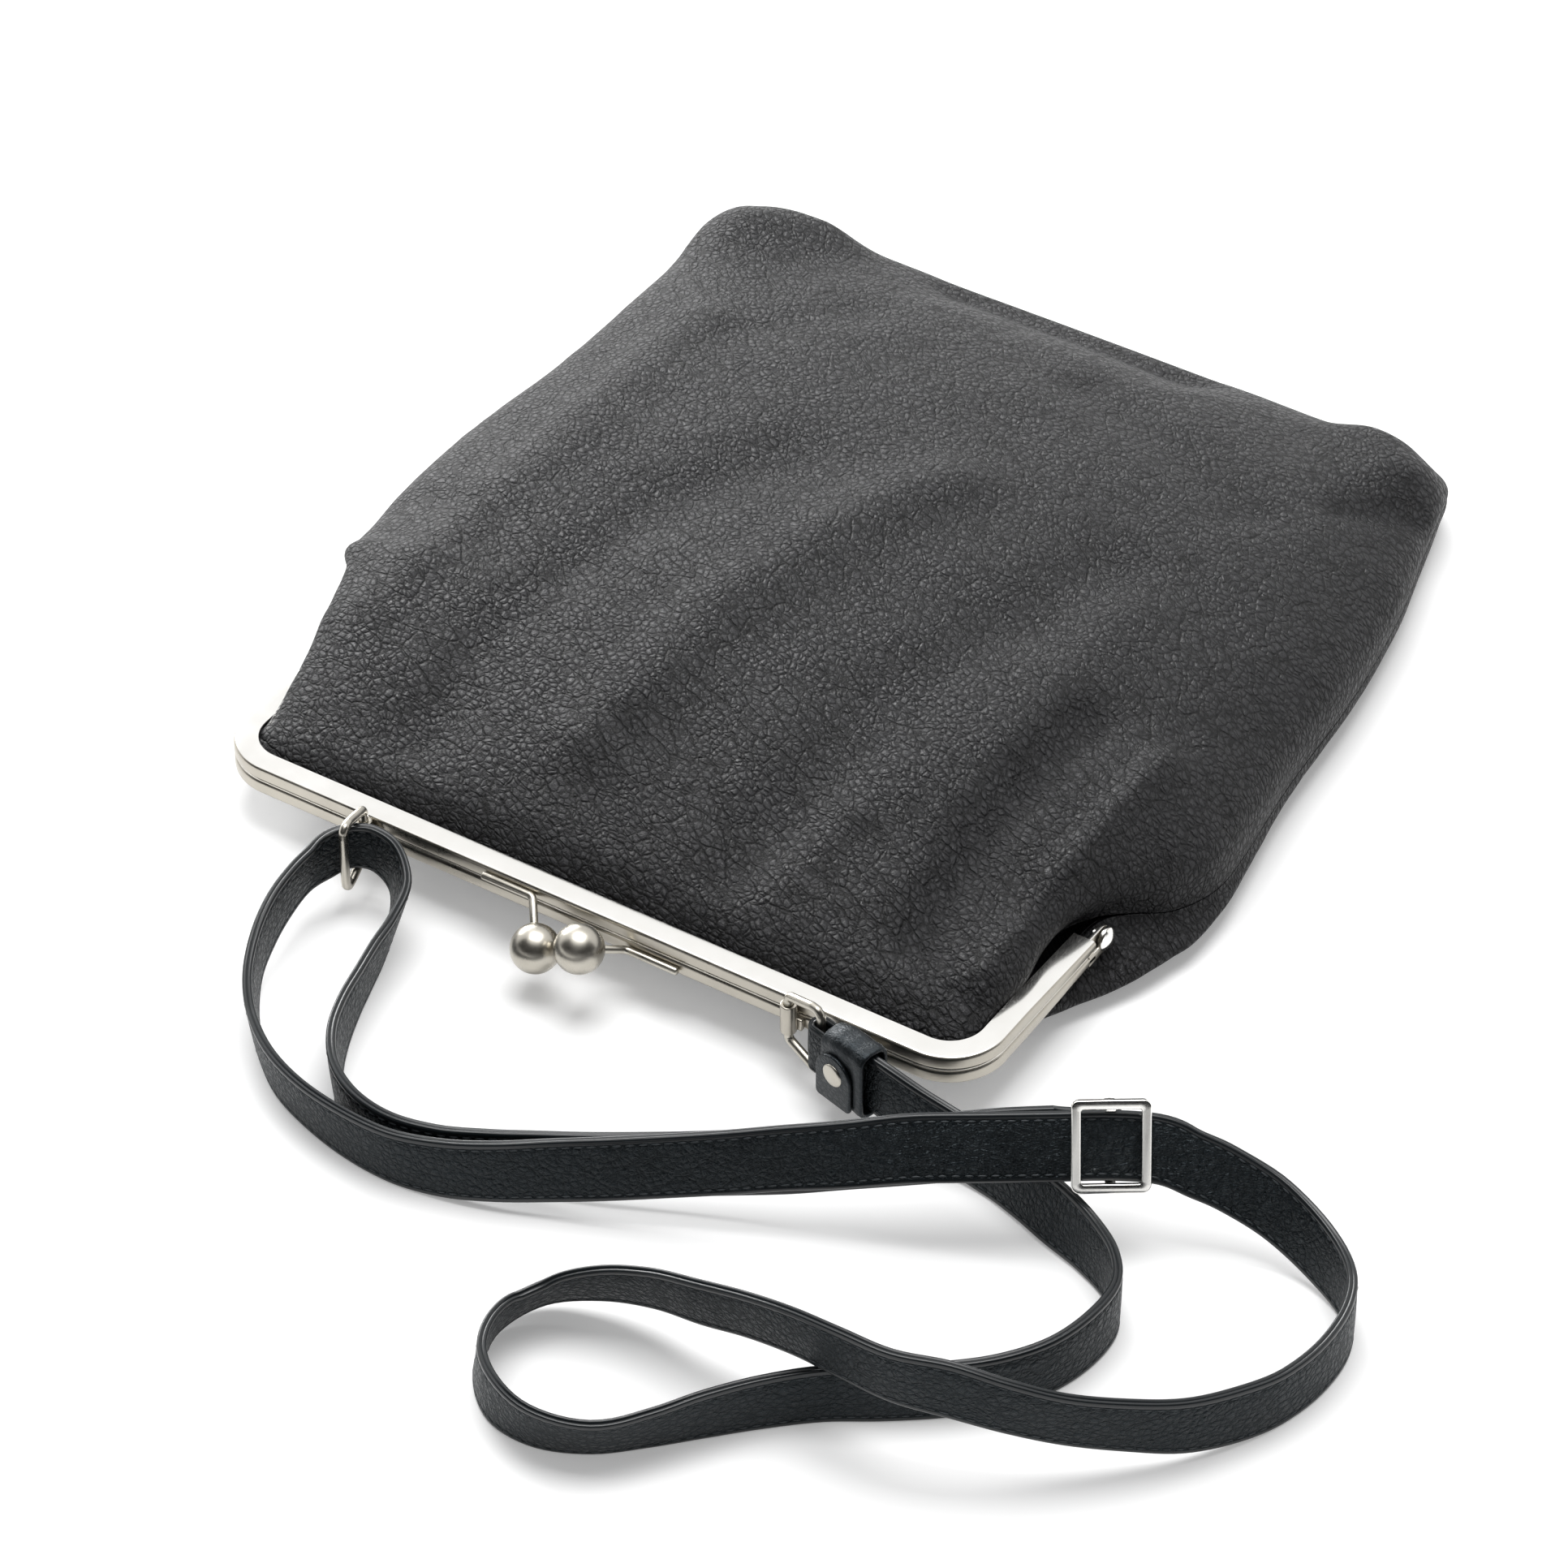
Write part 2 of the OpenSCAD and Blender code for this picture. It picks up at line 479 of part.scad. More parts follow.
function section(r, a, up) = let (c = cos(a), s = max(sin(a), 0), mid = (r[1] + r[2]) / 2, half = (r[2] - r[1]) / 2,
  swell = c > 0 ? r[6] : r[5],
  rise = up ? pow(s, 0.7) : min(1, 1.05 * pow(s, 0.6)))
  [mid + half * sign(c) * pow(abs(c), 0.85) + swell * sin(2 * a), r[3] + (r[4] - r[3]) * rise];
function inside(r, a, up, off) = let (p = section(r, a, up),
  d = section(r, min(a + 2, 180), up) - section(r, max(a - 2, 0), up), l = norm(d), turn = up ? 1 : -1,
  z = p[1] + turn * d[0] / l * off)
  a == 0 || a == 180 ? [p[0] - sign(cos(a)) * off, r[0], p[1]]
    : [p[0] - turn * d[1] / l * off, r[0], up ? max(z, r[3] + 0.01 * min(a, 180 - a)) : min(z, r[3] - 0.01 * min(a, 180 - a))];

// The rows below the hinge follow the bag's length.
rows_l = 312.4;
function stretched(r) = r[0] <= below_y ? r
  : concat([below_y + (r[0] - below_y) * (bag_l - below_y) / (rows_l - below_y)], [for (i = [1:6]) r[i]]);

module shell(rows, up, from, to, steps, sub) {
  r = smooth([for (q = rows) stretched(q)], sub);
  last = len(r) - 1;
  n = steps + 1;
  pts = [for (q = r) each concat([for (i = [0:steps]) inside(q, 180 * i / steps, up, from)],
    [for (i = [0:steps]) inside(q, 180 * i / steps, up, to)])];
  skin = [for (k = [0:last - 1], i = [0:steps - 1]) let (a = 2 * n * k + i, b = a + 2 * n) [a, a + 1, b + 1, b]];
  lin = [for (k = [0:last - 1], i = [0:steps - 1]) let (a = 2 * n * k + n + i, b = a + 2 * n) [a, b, b + 1, a + 1]];
  edge0 = [for (k = [0:last - 1]) let (a = 2 * n * k, b = a + 2 * n) [a, b, b + n, a + n]];
  edge1 = [for (k = [0:last - 1]) let (a = 2 * n * k + steps, b = a + 2 * n) [a, a + n, b + n, b]];
  cap0 = [for (i = [0:steps - 1]) [i, i + n, i + n + 1, i + 1]];
  cap1 = [for (i = [0:steps - 1]) let (a = 2 * n * last + i) [a, a + 1, a + n + 1, a + n]];
  all_faces = concat(skin, lin, edge0, edge1, cap0, cap1);
  polyhedron(pts, split(up ? all_faces : [for (f = all_faces) [f[3], f[2], f[1], f[0]]]), convexity = 8);
}

module leather_strip() { translate([0, 0, 2.1]) linear_extrude(1.3) plan_band(1.2, face_w + 0.9, strip_end); }

module front_mouth() {
  color(leather) {
    shell(mouth_rows, true, 0, leather_t, 20, 2);
    upper() leather_strip();
  }
}
module front_panel() { color(leather) shell(front_rows, true, 0, leather_t, 20, 2); }
module back_panel() {
  color(leather) {
    shell(back_rows, false, 0, leather_t, 20, 2);
    lower() leather_strip();
  }
}

function pick(rows, list) = [for (i = list) rows[i]];
lining_off = leather_t + 0.6;
module front_lining() {
  color(lining_grey) shell(concat(pick(mouth_rows, [3:8]), pick(front_rows, [1:10])), true, lining_off,
    lining_off + lining_t, 20, 1);
}
module back_lining() {
  color(lining_grey) shell(pick(back_rows, [4:17]), false, lining_off, lining_off + lining_t, 20, 1);
}

module in_place() { translate([0, -origin_y, 0]) children(); }

in_place() front_frame();
in_place() front_ball();
in_place() front_ball_stem();
in_place() front_paper_cord();
in_place() front_mouth();
in_place() front_lining();
in_place() back_frame();
in_place() back_ball();
in_place() back_ball_stem();
in_place() back_paper_cord();
in_place() left_hinge_rivet();
in_place() right_hinge_rivet();
in_place() left_ring_bracket();
in_place() right_ring_bracket();
in_place() front_panel();
in_place() back_panel();
in_place() back_lining();
in_place() strap_start();
in_place() strap_long();
in_place() strap_return();
in_place() left_ring();
in_place() right_ring();
in_place() ring_fold();
in_place() strap_wrap();
in_place() wrap_rivet();
in_place() wrap_rivet_back();
in_place() slider_frame();
in_place() slider_bar();
in_place() slider_fold();
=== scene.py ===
import bpy
import bmesh
import math
from mathutils import Matrix, Vector, noise


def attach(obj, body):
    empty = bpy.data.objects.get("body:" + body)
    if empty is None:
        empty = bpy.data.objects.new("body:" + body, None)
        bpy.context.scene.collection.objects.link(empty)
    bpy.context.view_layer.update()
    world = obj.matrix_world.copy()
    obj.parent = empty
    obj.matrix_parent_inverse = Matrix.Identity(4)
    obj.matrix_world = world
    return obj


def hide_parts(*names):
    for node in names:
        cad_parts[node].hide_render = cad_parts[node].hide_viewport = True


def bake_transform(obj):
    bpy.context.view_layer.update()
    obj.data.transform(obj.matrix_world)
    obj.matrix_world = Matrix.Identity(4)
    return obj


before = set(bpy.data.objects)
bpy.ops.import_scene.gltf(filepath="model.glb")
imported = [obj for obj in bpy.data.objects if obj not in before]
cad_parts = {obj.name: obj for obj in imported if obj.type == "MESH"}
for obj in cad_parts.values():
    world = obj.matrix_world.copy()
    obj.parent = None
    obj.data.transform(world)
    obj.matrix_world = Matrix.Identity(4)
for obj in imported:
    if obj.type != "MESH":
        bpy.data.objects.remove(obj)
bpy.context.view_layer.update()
print("frame loaded")

mm = 0.001
originBack = 150  # the row's origin lies this far behind the bar, and the lists below start at the bar


def place(x, y, z):
    return Vector((x, y - originBack, z)) * mm


def linear(hexText):
    channels = [int(hexText[i:i + 2], 16) / 255 for i in (0, 2, 4)]
    return (*[c / 12.92 if c <= 0.04045 else ((c + 0.055) / 1.055) ** 2.4 for c in channels], 1)


def addNode(tree, kind, inputs=None, **settings):
    node = tree.nodes.new(kind)
    for key, value in settings.items():
        setattr(node, key, value)
    for key, value in (inputs or {}).items():
        if isinstance(value, bpy.types.NodeSocket):
            tree.links.new(value, node.inputs[key])
        else:
            node.inputs[key].default_value = value
    return node


def startMaterial(name):
    material = bpy.data.materials.new(name)
    material.use_nodes = True
    tree = material.node_tree
    tree.nodes.clear()
    shader = addNode(tree, "ShaderNodeBsdfPrincipled")
    addNode(tree, "ShaderNodeOutputMaterial", {"Surface": shader.outputs["BSDF"]})
    where = addNode(tree, "ShaderNodeTexCoord").outputs["Object"]
    return material, tree, shader, where


def speckle(tree, where, size, detail=2.0):
    # noise whose spots are about size mm wide
    return addNode(tree, "ShaderNodeTexNoise", {"Vector": where, "Scale": 1 / (size * mm),
                                                "Detail": detail}).outputs["Fac"]


def mixed(tree, share, low, high):
    # sockets 0, 6 and 7 of a colour mix take the share and the two colours, output 2 gives the result
    return addNode(tree, "ShaderNodeMix", {0: share, 6: low, 7: high}, data_type="RGBA").outputs[2]


def finishMaterial(tree, shader, colour, height, strength, depth, rough):
    bump = addNode(tree, "ShaderNodeBump", {"Height": height, "Strength": strength, "Distance": depth * mm})
    tree.links.new(colour, shader.inputs["Base Color"])
    tree.links.new(bump.outputs["Normal"], shader.inputs["Normal"])
    if isinstance(rough, bpy.types.NodeSocket):
        tree.links.new(rough, shader.inputs["Roughness"])
    else:
        shader.inputs["Roughness"].default_value = rough


# what all three leathers share: widths and spans in pebbles, pores in mm, shares of the relief
grain = {"bend": 0.32, "bendShare": 1.1, "stretch": (1.3, 0.86, 1), "creaseStretch": (2.3, 0.9, 1),
         "creaseSpan": 2.7, "creaseWidth": 0.07, "domeShare": 0.55, "wallShare": 0.45, "wallWidth": 0.24,
         "smallCells": 2.6, "smallWidth": 0.2, "pore": 0.35, "poreShare": 0.1, "broadSpan": 9}


def makeLeather(name, look):
    material, tree, shader, where = startMaterial(name)
    cell = look["cell"] * mm
    bend = addNode(tree, "ShaderNodeTexNoise", {"Vector": where, "Scale": grain["bend"] / cell, "Detail": 3.0})
    shift = addNode(tree, "ShaderNodeVectorMath", {0: bend.outputs["Color"], 1: (0.5, 0.5, 0.5)},
                    operation="SUBTRACT")
    shiftBy = addNode(tree, "ShaderNodeVectorMath", {0: shift.outputs[0], "Scale": cell * grain["bendShare"]},
                      operation="SCALE")
    bent = addNode(tree, "ShaderNodeVectorMath", {0: where, 1: shiftBy.outputs[0]}, operation="ADD")
    # pebbles lie longer one way than the other, and long creases run that way across many of them
    turn = (0, 0, math.radians(look["lie"]))
    pebbleAt, creaseAt = [
        addNode(tree, "ShaderNodeMapping", {"Vector": bent.outputs[0], "Rotation": turn, "Scale": grain[key]},
                vector_type="TEXTURE").outputs["Vector"] for key in ("stretch", "creaseStretch")]
    edges = {key: addNode(tree, "ShaderNodeTexVoronoi", {"Vector": at, "Scale": scale},
                          feature="DISTANCE_TO_EDGE").outputs["Distance"]
             for key, at, scale in (("pebble", pebbleAt, 1 / cell),
                                    ("small", pebbleAt, grain["smallCells"] / cell),
                                    ("crease", creaseAt, 1 / (look["cell"] * grain["creaseSpan"] * mm)))}
    rises = {key: addNode(tree, "ShaderNodeMapRange", {"Value": edges[edge], "From Max": width, "To Max": top},
                          interpolation_type="SMOOTHSTEP").outputs["Result"]
             for key, edge, width, top in (("wall", "pebble", grain["wallWidth"], grain["wallShare"]),
                                           ("foot", "pebble", look["footWidth"], 1),
                                           ("small", "small", grain["smallWidth"], 1),
                                           ("crease", "crease", grain["creaseWidth"], 1))}
    centre = addNode(tree, "ShaderNodeTexVoronoi", {"Vector": pebbleAt, "Scale": 1 / cell})
    dome = addNode(tree, "ShaderNodeMapRange", {"Value": centre.outputs["Distance"], "From Max": look["dome"],
                                                "To Min": grain["domeShare"], "To Max": 0.0},
                   interpolation_type="SMOOTHSTEP")
    pebble = addNode(tree, "ShaderNodeMath", {0: dome.outputs["Result"], 1: rises["wall"]}, operation="ADD")
    pores = speckle(tree, where, grain["pore"])
    broad = speckle(tree, where, look["cell"] * grain["broadSpan"])
    # the grain is shallower in some places than in others
    depth = addNode(tree, "ShaderNodeMapRange", {"Value": broad, "From Min": 0.35, "From Max": 0.65,
                                                 "To Min": 0.45, "To Max": 1.0})
    height = addNode(tree, "ShaderNodeMath", {0: pebble.outputs[0], 1: depth.outputs["Result"]},
                     operation="MULTIPLY").outputs[0]
    for rise, share in ((rises["crease"], look["creaseShare"]), (rises["small"], look["fineShare"]),
                        (pores, grain["poreShare"])):
        height = addNode(tree, "ShaderNodeMath", {0: rise, 1: share, 2: height},
                         operation="MULTIPLY_ADD").outputs[0]
    # the creases and the feet of the pebbles take the crease colour: painted shade in the grain's hollows
    low = addNode(tree, "ShaderNodeMath", {0: rises["foot"], 1: rises["crease"]}, operation="MULTIPLY")
    toneWithCreaseShade = mixed(tree, low.outputs[0], linear(look["crease"]), linear(look["top"]))
    worn = addNode(tree, "ShaderNodeMapRange", {"Value": broad, "From Min": 0.45, "From Max": 0.7, "To Max": 0.35})
    colour = mixed(tree, worn.outputs["Result"], toneWithCreaseShade, linear(look["worn"]))
    gloss = addNode(tree, "ShaderNodeMapRange", {"Value": pebble.outputs[0], "To Min": look["roughLow"],
                                                 "To Max": look["roughTop"]})
    finishMaterial(tree, shader, colour, height, look["bump"], look["depth"], gloss.outputs["Result"])
    shader.inputs["Specular IOR Level"].default_value = look["shine"]
    shader.inputs["Specular Tint"].default_value = linear(look["tint"])
    return material


# cell is one pebble in mm, depth how far a crease lies below it in mm, lie the pebbles' long way in degrees;
# dome and footWidth are in pebbles; crease is the darker colour painted into the creases and pebble feet as shade
leatherLooks = {
    # drum-dyed cowhide, milled soft: round pebbles, creases darkened with painted shade, a low waxy shine on the
    # tops
    "milledCowhide": {"cell": 2.0, "lie": -28, "shine": 0.25, "tint": "FFFFFF", "dome": 0.75, "footWidth": 0.2,
                      "fineShare": 0.12, "creaseShare": 0.4, "bump": 1.0, "depth": 0.65, "crease": "030304",
                      "top": "262628", "worn": "2C2C2E", "roughTop": 0.36, "roughLow": 0.6},
    # thinner split of the same hide, pressed flat between the stitches: finer and blacker
    "strapCowhide": {"cell": 1.8, "lie": 60, "shine": 0.36, "tint": "D4E4EC", "dome": 0.75, "footWidth": 0.16,
                     "fineShare": 0.2, "creaseShare": 0.35, "bump": 1.0, "depth": 0.45, "crease": "020304",
                     "top": "0B0F12", "worn": "11161A", "roughTop": 0.3, "roughLow": 0.55},
    # calf skin for the wrapped strap end: nearly smooth, satin
    "wrapCalf": {"cell": 1.3, "lie": 0, "shine": 0.45, "tint": "D2E1EB", "dome": 0.75, "footWidth": 0.1,
                 "fineShare": 0.3, "creaseShare": 0.2, "bump": 0.6, "depth": 0.14, "crease": "060708",
                 "top": "090B0D", "worn": "0D1012", "roughTop": 0.28, "roughLow": 0.45},
}


plateSkin = {"haze": 9, "depth": 0.02, "duller": 1.25, "clearer": 0.8}  # mm, and shares of the roughness


def makeMetal(name, look):
    material, tree, shader, where = startMaterial(name)
    haze = speckle(tree, where, plateSkin["haze"], 4.0)
    gloss = addNode(tree, "ShaderNodeMapRange", {
        "Value": haze, "From Min": 0.3, "From Max": 0.7,
        "To Min": look["rough"] * plateSkin["clearer"], "To Max": look["rough"] * plateSkin["duller"]})
    colour = mixed(tree, haze, linear(look["dull"]), linear(look["bright"]))
    grit = speckle(tree, where, look["grit"])
    finishMaterial(tree, shader, colour, grit, look["bump"], plateSkin["depth"], gloss.outputs["Result"])
    shader.inputs["Metallic"].default_value = 1
    return material


metalLooks = {
    # nickel plate on barrel-polished steel: warm grey mirror, very slightly hazed
    "polishedNickel": {"rough": 0.14, "grit": 0.8, "bump": 0.04, "dull": "F2F0EB", "bright": "FCFBF8"},
    # nickel plate on tumbled brass balls and wire: soft grey mirror
    "tumbledNickel": {"rough": 0.3, "grit": 0.3, "bump": 0.2, "dull": "AAA59A", "bright": "CCC8BE"},
    # nickel plate on brushed steel strip: the same grey with a wide soft shine
    "satinNickel": {"rough": 0.3, "grit": 0.3, "bump": 0.15, "dull": "A39E94", "bright": "C2BDB2"},
}


def makePlain(name, look):
    material, tree, shader, where = startMaterial(name)
    spots = speckle(tree, where, look["grain"], 4.0)
    colour = mixed(tree, spots, linear(look["dark"]), linear(look["light"]))
    finishMaterial(tree, shader, colour, spots, 0.5, look["depth"], look["rough"])
    return material


plainLooks = {
    # edge paint, built up in coats and rubbed: smooth black rubber-like bead
    "edgePaint": {"grain": 1.2, "depth": 0.03, "dark": "0B0F11", "light": "151B1F", "rough": 0.3},
    # bonded polyester thread, waxed: dark with a faint shine
    "waxedThread": {"grain": 0.3, "depth": 0.04, "dark": "1C2225", "light": "343B40", "rough": 0.5},
    # twisted kraft paper: matt tan fibre
    "twistedPaper": {"grain": 0.7, "depth": 0.15, "dark": "8F7A55", "light": "B9A47A", "rough": 0.85},
}


def makeTwill(name, look):
    material, tree, shader, where = startMaterial(name)
    # a wave repeats every 0.31 of its scale
    ribs = addNode(tree, "ShaderNodeTexWave", {"Vector": where, "Scale": 0.31 / (look["pitch"] * mm),
                                               "Distortion": 0.6, "Detail": 1.0}, bands_direction="DIAGONAL")
    colour = mixed(tree, ribs.outputs["Fac"], linear(look["dark"]), linear(look["light"]))
    finishMaterial(tree, shader, colour, ribs.outputs["Fac"], 0.5, look["depth"], look["rough"])
    shader.inputs["Sheen Weight"].default_value = look["sheen"]
    return material


materials = {name: makeLeather(name, look) for name, look in leatherLooks.items()}
materials.update({name: makeMetal(name, look) for name, look in metalLooks.items()})
materials.update({name: makePlain(name, look) for name, look in plainLooks.items()})
# viscose twill, woven at 0.8 mm: grey diagonal ribs, dull
materials["twillLining"] = makeTwill("twillLining", {"pitch": 0.8, "depth": 0.08, "rough": 0.8, "sheen": 0.2,
                                                     "dark": "2C2C2F", "light": "45454A"})
print("materials made")


def meshPiece(name, points, faces, material, smoothAngle=35):
    mesh = bpy.data.meshes.new(name)
    mesh.from_pydata([tuple(p) for p in points], [], faces)
    mesh.validate()
    piece = bpy.data.objects.new(name, mesh)
    bpy.context.scene.collection.objects.link(piece)
    mesh.materials.append(material)
    mesh.shade_smooth()
    mesh.set_sharp_from_angle(angle=math.radians(smoothAngle))
    return piece


def finishPiece(piece, body, node):
    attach(piece, body)
    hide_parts(node)


def solidPiece(name, shape, look, body, node, smoothAngle=35):
    piece = pointOutwards(meshPiece(name, *shape, materials[look], smoothAngle))
    finishPiece(piece, body, node)


def cubic(a, b, c, d, t):
    return 0.5 * (2 * b + (c - a) * t + (2 * a - 5 * b + 4 * c - d) * t * t + (3 * b - a - 3 * c + d) * t ** 3)


def smoothStep(value, low, high):
    t = min(max((value - low) / (high - low), 0), 1)
    return t * t * (3 - 2 * t)


def smoothRows(rows, stepsBetween):
    last = len(rows) - 1
    out = []
    for i in range(last):
        around = [rows[max(i - 1, 0)], rows[i], rows[i + 1], rows[min(i + 2, last)]]
        steps = stepsBetween(rows[i], rows[i + 1])
        out += [[cubic(*values, j / steps) for values in zip(*around)] for j in range(steps)]
    return out + [list(rows[-1])]


def ringsToMesh(rings, closedRing=True, caps=True):
    count = len(rings[0])
    points = [p for ring in rings for p in ring]
    span = count if closedRing else count - 1
    faces = [(k * count + i, k * count + (i + 1) % count, (k + 1) * count + (i + 1) % count, (k + 1) * count + i)
             for k in range(len(rings) - 1) for i in range(span)]
    if caps and closedRing:
        faces.append(tuple(reversed(range(count))))
        faces.append(tuple(range(len(points) - count, len(points))))
    return points, faces


def pointOutwards(piece):
    work = bmesh.new()
    work.from_mesh(piece.data)
    bmesh.ops.remove_doubles(work, verts=work.verts, dist=1e-6)
    bmesh.ops.recalc_face_normals(work, faces=work.faces)
    work.to_mesh(piece.data)
    work.free()
    piece.data.update()
    return piece


def tubeAlong(path, radius, sides, closed=False, dome=False):
    rings = []
    last = len(path) - 1
    side = (path[1] - path[0]).normalized().orthogonal().normalized()
    for i, p in enumerate(path):
        if closed:
            ahead = (path[(i + 1) % len(path)] - path[i - 1]).normalized()
        else:
            ahead = (path[min(i + 1, last)] - path[max(i - 1, 0)]).normalized()
        side = (side - ahead * side.dot(ahead)).normalized()
        other = ahead.cross(side)
        spokes = [side * math.cos(2 * math.pi * k / sides) + other * math.sin(2 * math.pi * k / sides)
                  for k in range(sides)]
        rounds = [(0, 1)]
        if dome and i in (0, last):
            rounds = [(math.sin(t) * 0.6, math.cos(t)) for t in (0, 0.35, 0.7, 1.05, 1.35)]
            rounds = rounds if i else [(-far, wide) for far, wide in reversed(rounds)]
        rings += [[p + ahead * far * radius + s * wide * radius for s in spokes] for far, wide in rounds]
    if closed:
        rings.append(rings[0])
    return ringsToMesh(rings, caps=not closed)


def turned(profile, base, axis, sides=64):
    # profile: (radius, height) in mm along axis, from one pole to the other
    toAxis = axis.normalized().to_track_quat("Z", "Y").to_matrix()
    rings = [[base + toAxis @ Vector((r * mm * math.cos(2 * math.pi * k / sides),
                                      r * mm * math.sin(2 * math.pi * k / sides), h * mm)) for k in range(sides)]
             for r, h in profile]
    return ringsToMesh(rings)


def arc(centre, radius, start, end, steps):
    turns = [math.radians(start + (end - start) * k / steps) for k in range(steps + 1)]
    return [(centre[0] + radius * math.cos(t), centre[1] + radius * math.sin(t)) for t in turns]


def roundedPath(corners, steps=8, closed=False):
    # corners: (point, bend radius); straight runs joined by arcs
    out = []
    count = len(corners)
    for i, (p, radius) in enumerate(corners):
        if not closed and i in (0, count - 1):
            out.append(p)
            continue
        u = (corners[i - 1][0] - p).normalized()
        v = (corners[(i + 1) % count][0] - p).normalized()
        half = u.angle(v) / 2
        centre = p + (u + v).normalized() * radius / math.sin(half)
        start = p + u * radius / math.tan(half) - centre
        turn = start.cross(p + v * radius / math.tan(half) - centre).normalized()
        for k in range(steps + 1):
            out.append(centre + Matrix.Rotation((math.pi - 2 * half) * k / steps, 3, turn) @ start)
    return out


# fitted to the bar, both of its corners and the right arm
camera = {"place": (714.7, -1010.9, 1110.9), "ahead": (-0.4126, 0.6428, -0.6455), "lens": 140.5, "sensor": 36}
cameraData = bpy.data.cameras.new("photoCamera")
cameraData.sensor_width = camera["sensor"]
cameraData.sensor_fit = "HORIZONTAL"
cameraData.lens = camera["lens"]
cameraObject = bpy.data.objects.new("photoCamera", cameraData)
cameraObject.location = place(*camera["place"])
cameraObject.rotation_euler = Vector(camera["ahead"]).to_track_quat("-Z", "Y").to_euler()
bpy.context.scene.collection.objects.link(cameraObject)
bpy.context.scene.camera = cameraObject


def stitchTree():
    # thread along every edge line of the mesh it gets: one stitch per pitch, each sunk a little at its ends
    tree = bpy.data.node_groups.new("stitchRow", "GeometryNodeTree")
    sockets = {"Geometry": "NodeSocketGeometry", "Stitch pitch": "NodeSocketFloat",
               "Stitch length": "NodeSocketFloat", "Thread thickness": "NodeSocketFloat",
               "Seed": "NodeSocketInt", "Thread": "NodeSocketMaterial"}
    for name, kind in sockets.items():
        tree.interface.new_socket(name=name, in_out="INPUT", socket_type=kind)
    tree.interface.new_socket(name="Geometry", in_out="OUTPUT", socket_type="NodeSocketGeometry")
    given = addNode(tree, "NodeGroupInput").outputs
    line = addNode(tree, "GeometryNodeMeshToCurve", {"Mesh": given["Geometry"]})
    spaced = addNode(tree, "GeometryNodeResampleCurve", {"Curve": line.outputs["Curve"],
                                                         "Length": given["Stitch pitch"]}, mode="LENGTH")
    bead = addNode(tree, "GeometryNodeMeshUVSphere", {"Segments": 8, "Rings": 6, "Radius": 0.5})
    size = addNode(tree, "ShaderNodeCombineXYZ", {"X": given["Stitch length"], "Y": given["Thread thickness"],
                                                  "Z": given["Thread thickness"]})
    thread = addNode(tree, "GeometryNodeTransform", {"Geometry": bead.outputs["Mesh"], "Scale": size.outputs[0]})
    along = addNode(tree, "FunctionNodeAlignRotationToVector", {
        "Vector": addNode(tree, "GeometryNodeInputTangent").outputs["Tangent"]}, axis="X")
    uneven = addNode(tree, "FunctionNodeRandomValue", {0: (0.92, 0.9, 0.9), 1: (1.04, 1.06, 1.06),
                                                       "Seed": given["Seed"]}, data_type="FLOAT_VECTOR")
    placed = addNode(tree, "GeometryNodeInstanceOnPoints", {
        "Points": spaced.outputs["Curve"], "Instance": thread.outputs["Geometry"],
        "Rotation": along.outputs["Rotation"], "Scale": uneven.outputs[0]})
    real = addNode(tree, "GeometryNodeRealizeInstances", {"Geometry": placed.outputs["Instances"]})
    done = addNode(tree, "GeometryNodeSetMaterial", {"Geometry": real.outputs["Geometry"],
                                                     "Material": given["Thread"]})
    addNode(tree, "NodeGroupOutput", {"Geometry": done.outputs["Geometry"]})
    return tree


stitchNodes = stitchTree()


def stitchPiece(name, lines, pitch, length, thread):
    points = [p for line in lines for p in line]
    edges = []
    for line in lines:
        first = edges[-1][1] + 1 if edges else 0
        edges += [(first + i, first + i + 1) for i in range(len(line) - 1)]
    mesh = bpy.data.meshes.new(name + "Lines")
    mesh.from_pydata([tuple(p) for p in points], edges, [])
    holder = bpy.data.objects.new(name + "Lines", mesh)
    bpy.context.scene.collection.objects.link(holder)
    modifier = holder.modifiers.new("stitches", "NODES")
    modifier.node_group = stitchNodes
    values = {"Stitch pitch": pitch * mm, "Stitch length": length * mm, "Thread thickness": thread * mm,
              "Seed": 1, "Thread": materials["waxedThread"]}
    for item in stitchNodes.interface.items_tree:
        if item.in_out == "INPUT" and item.name in values:
            modifier[item.identifier] = values[item.name]
    seen = holder.evaluated_get(bpy.context.evaluated_depsgraph_get())
    result = bpy.data.meshes.new_from_object(seen)
    result.name = name
    bpy.data.objects.remove(holder)
    result.shade_smooth()
    piece = bpy.data.objects.new(name, result)
    bpy.context.scene.collection.objects.link(piece)
    return piece


strap = {"width": 18.6, "thick": 2.6, "steps": 6, "lineIn": 2.0, "stitchPitch": 3.4, "stitchLength": 2.6,
         "thread": 0.6, "threadOut": 0.08, "dent": 0.26}
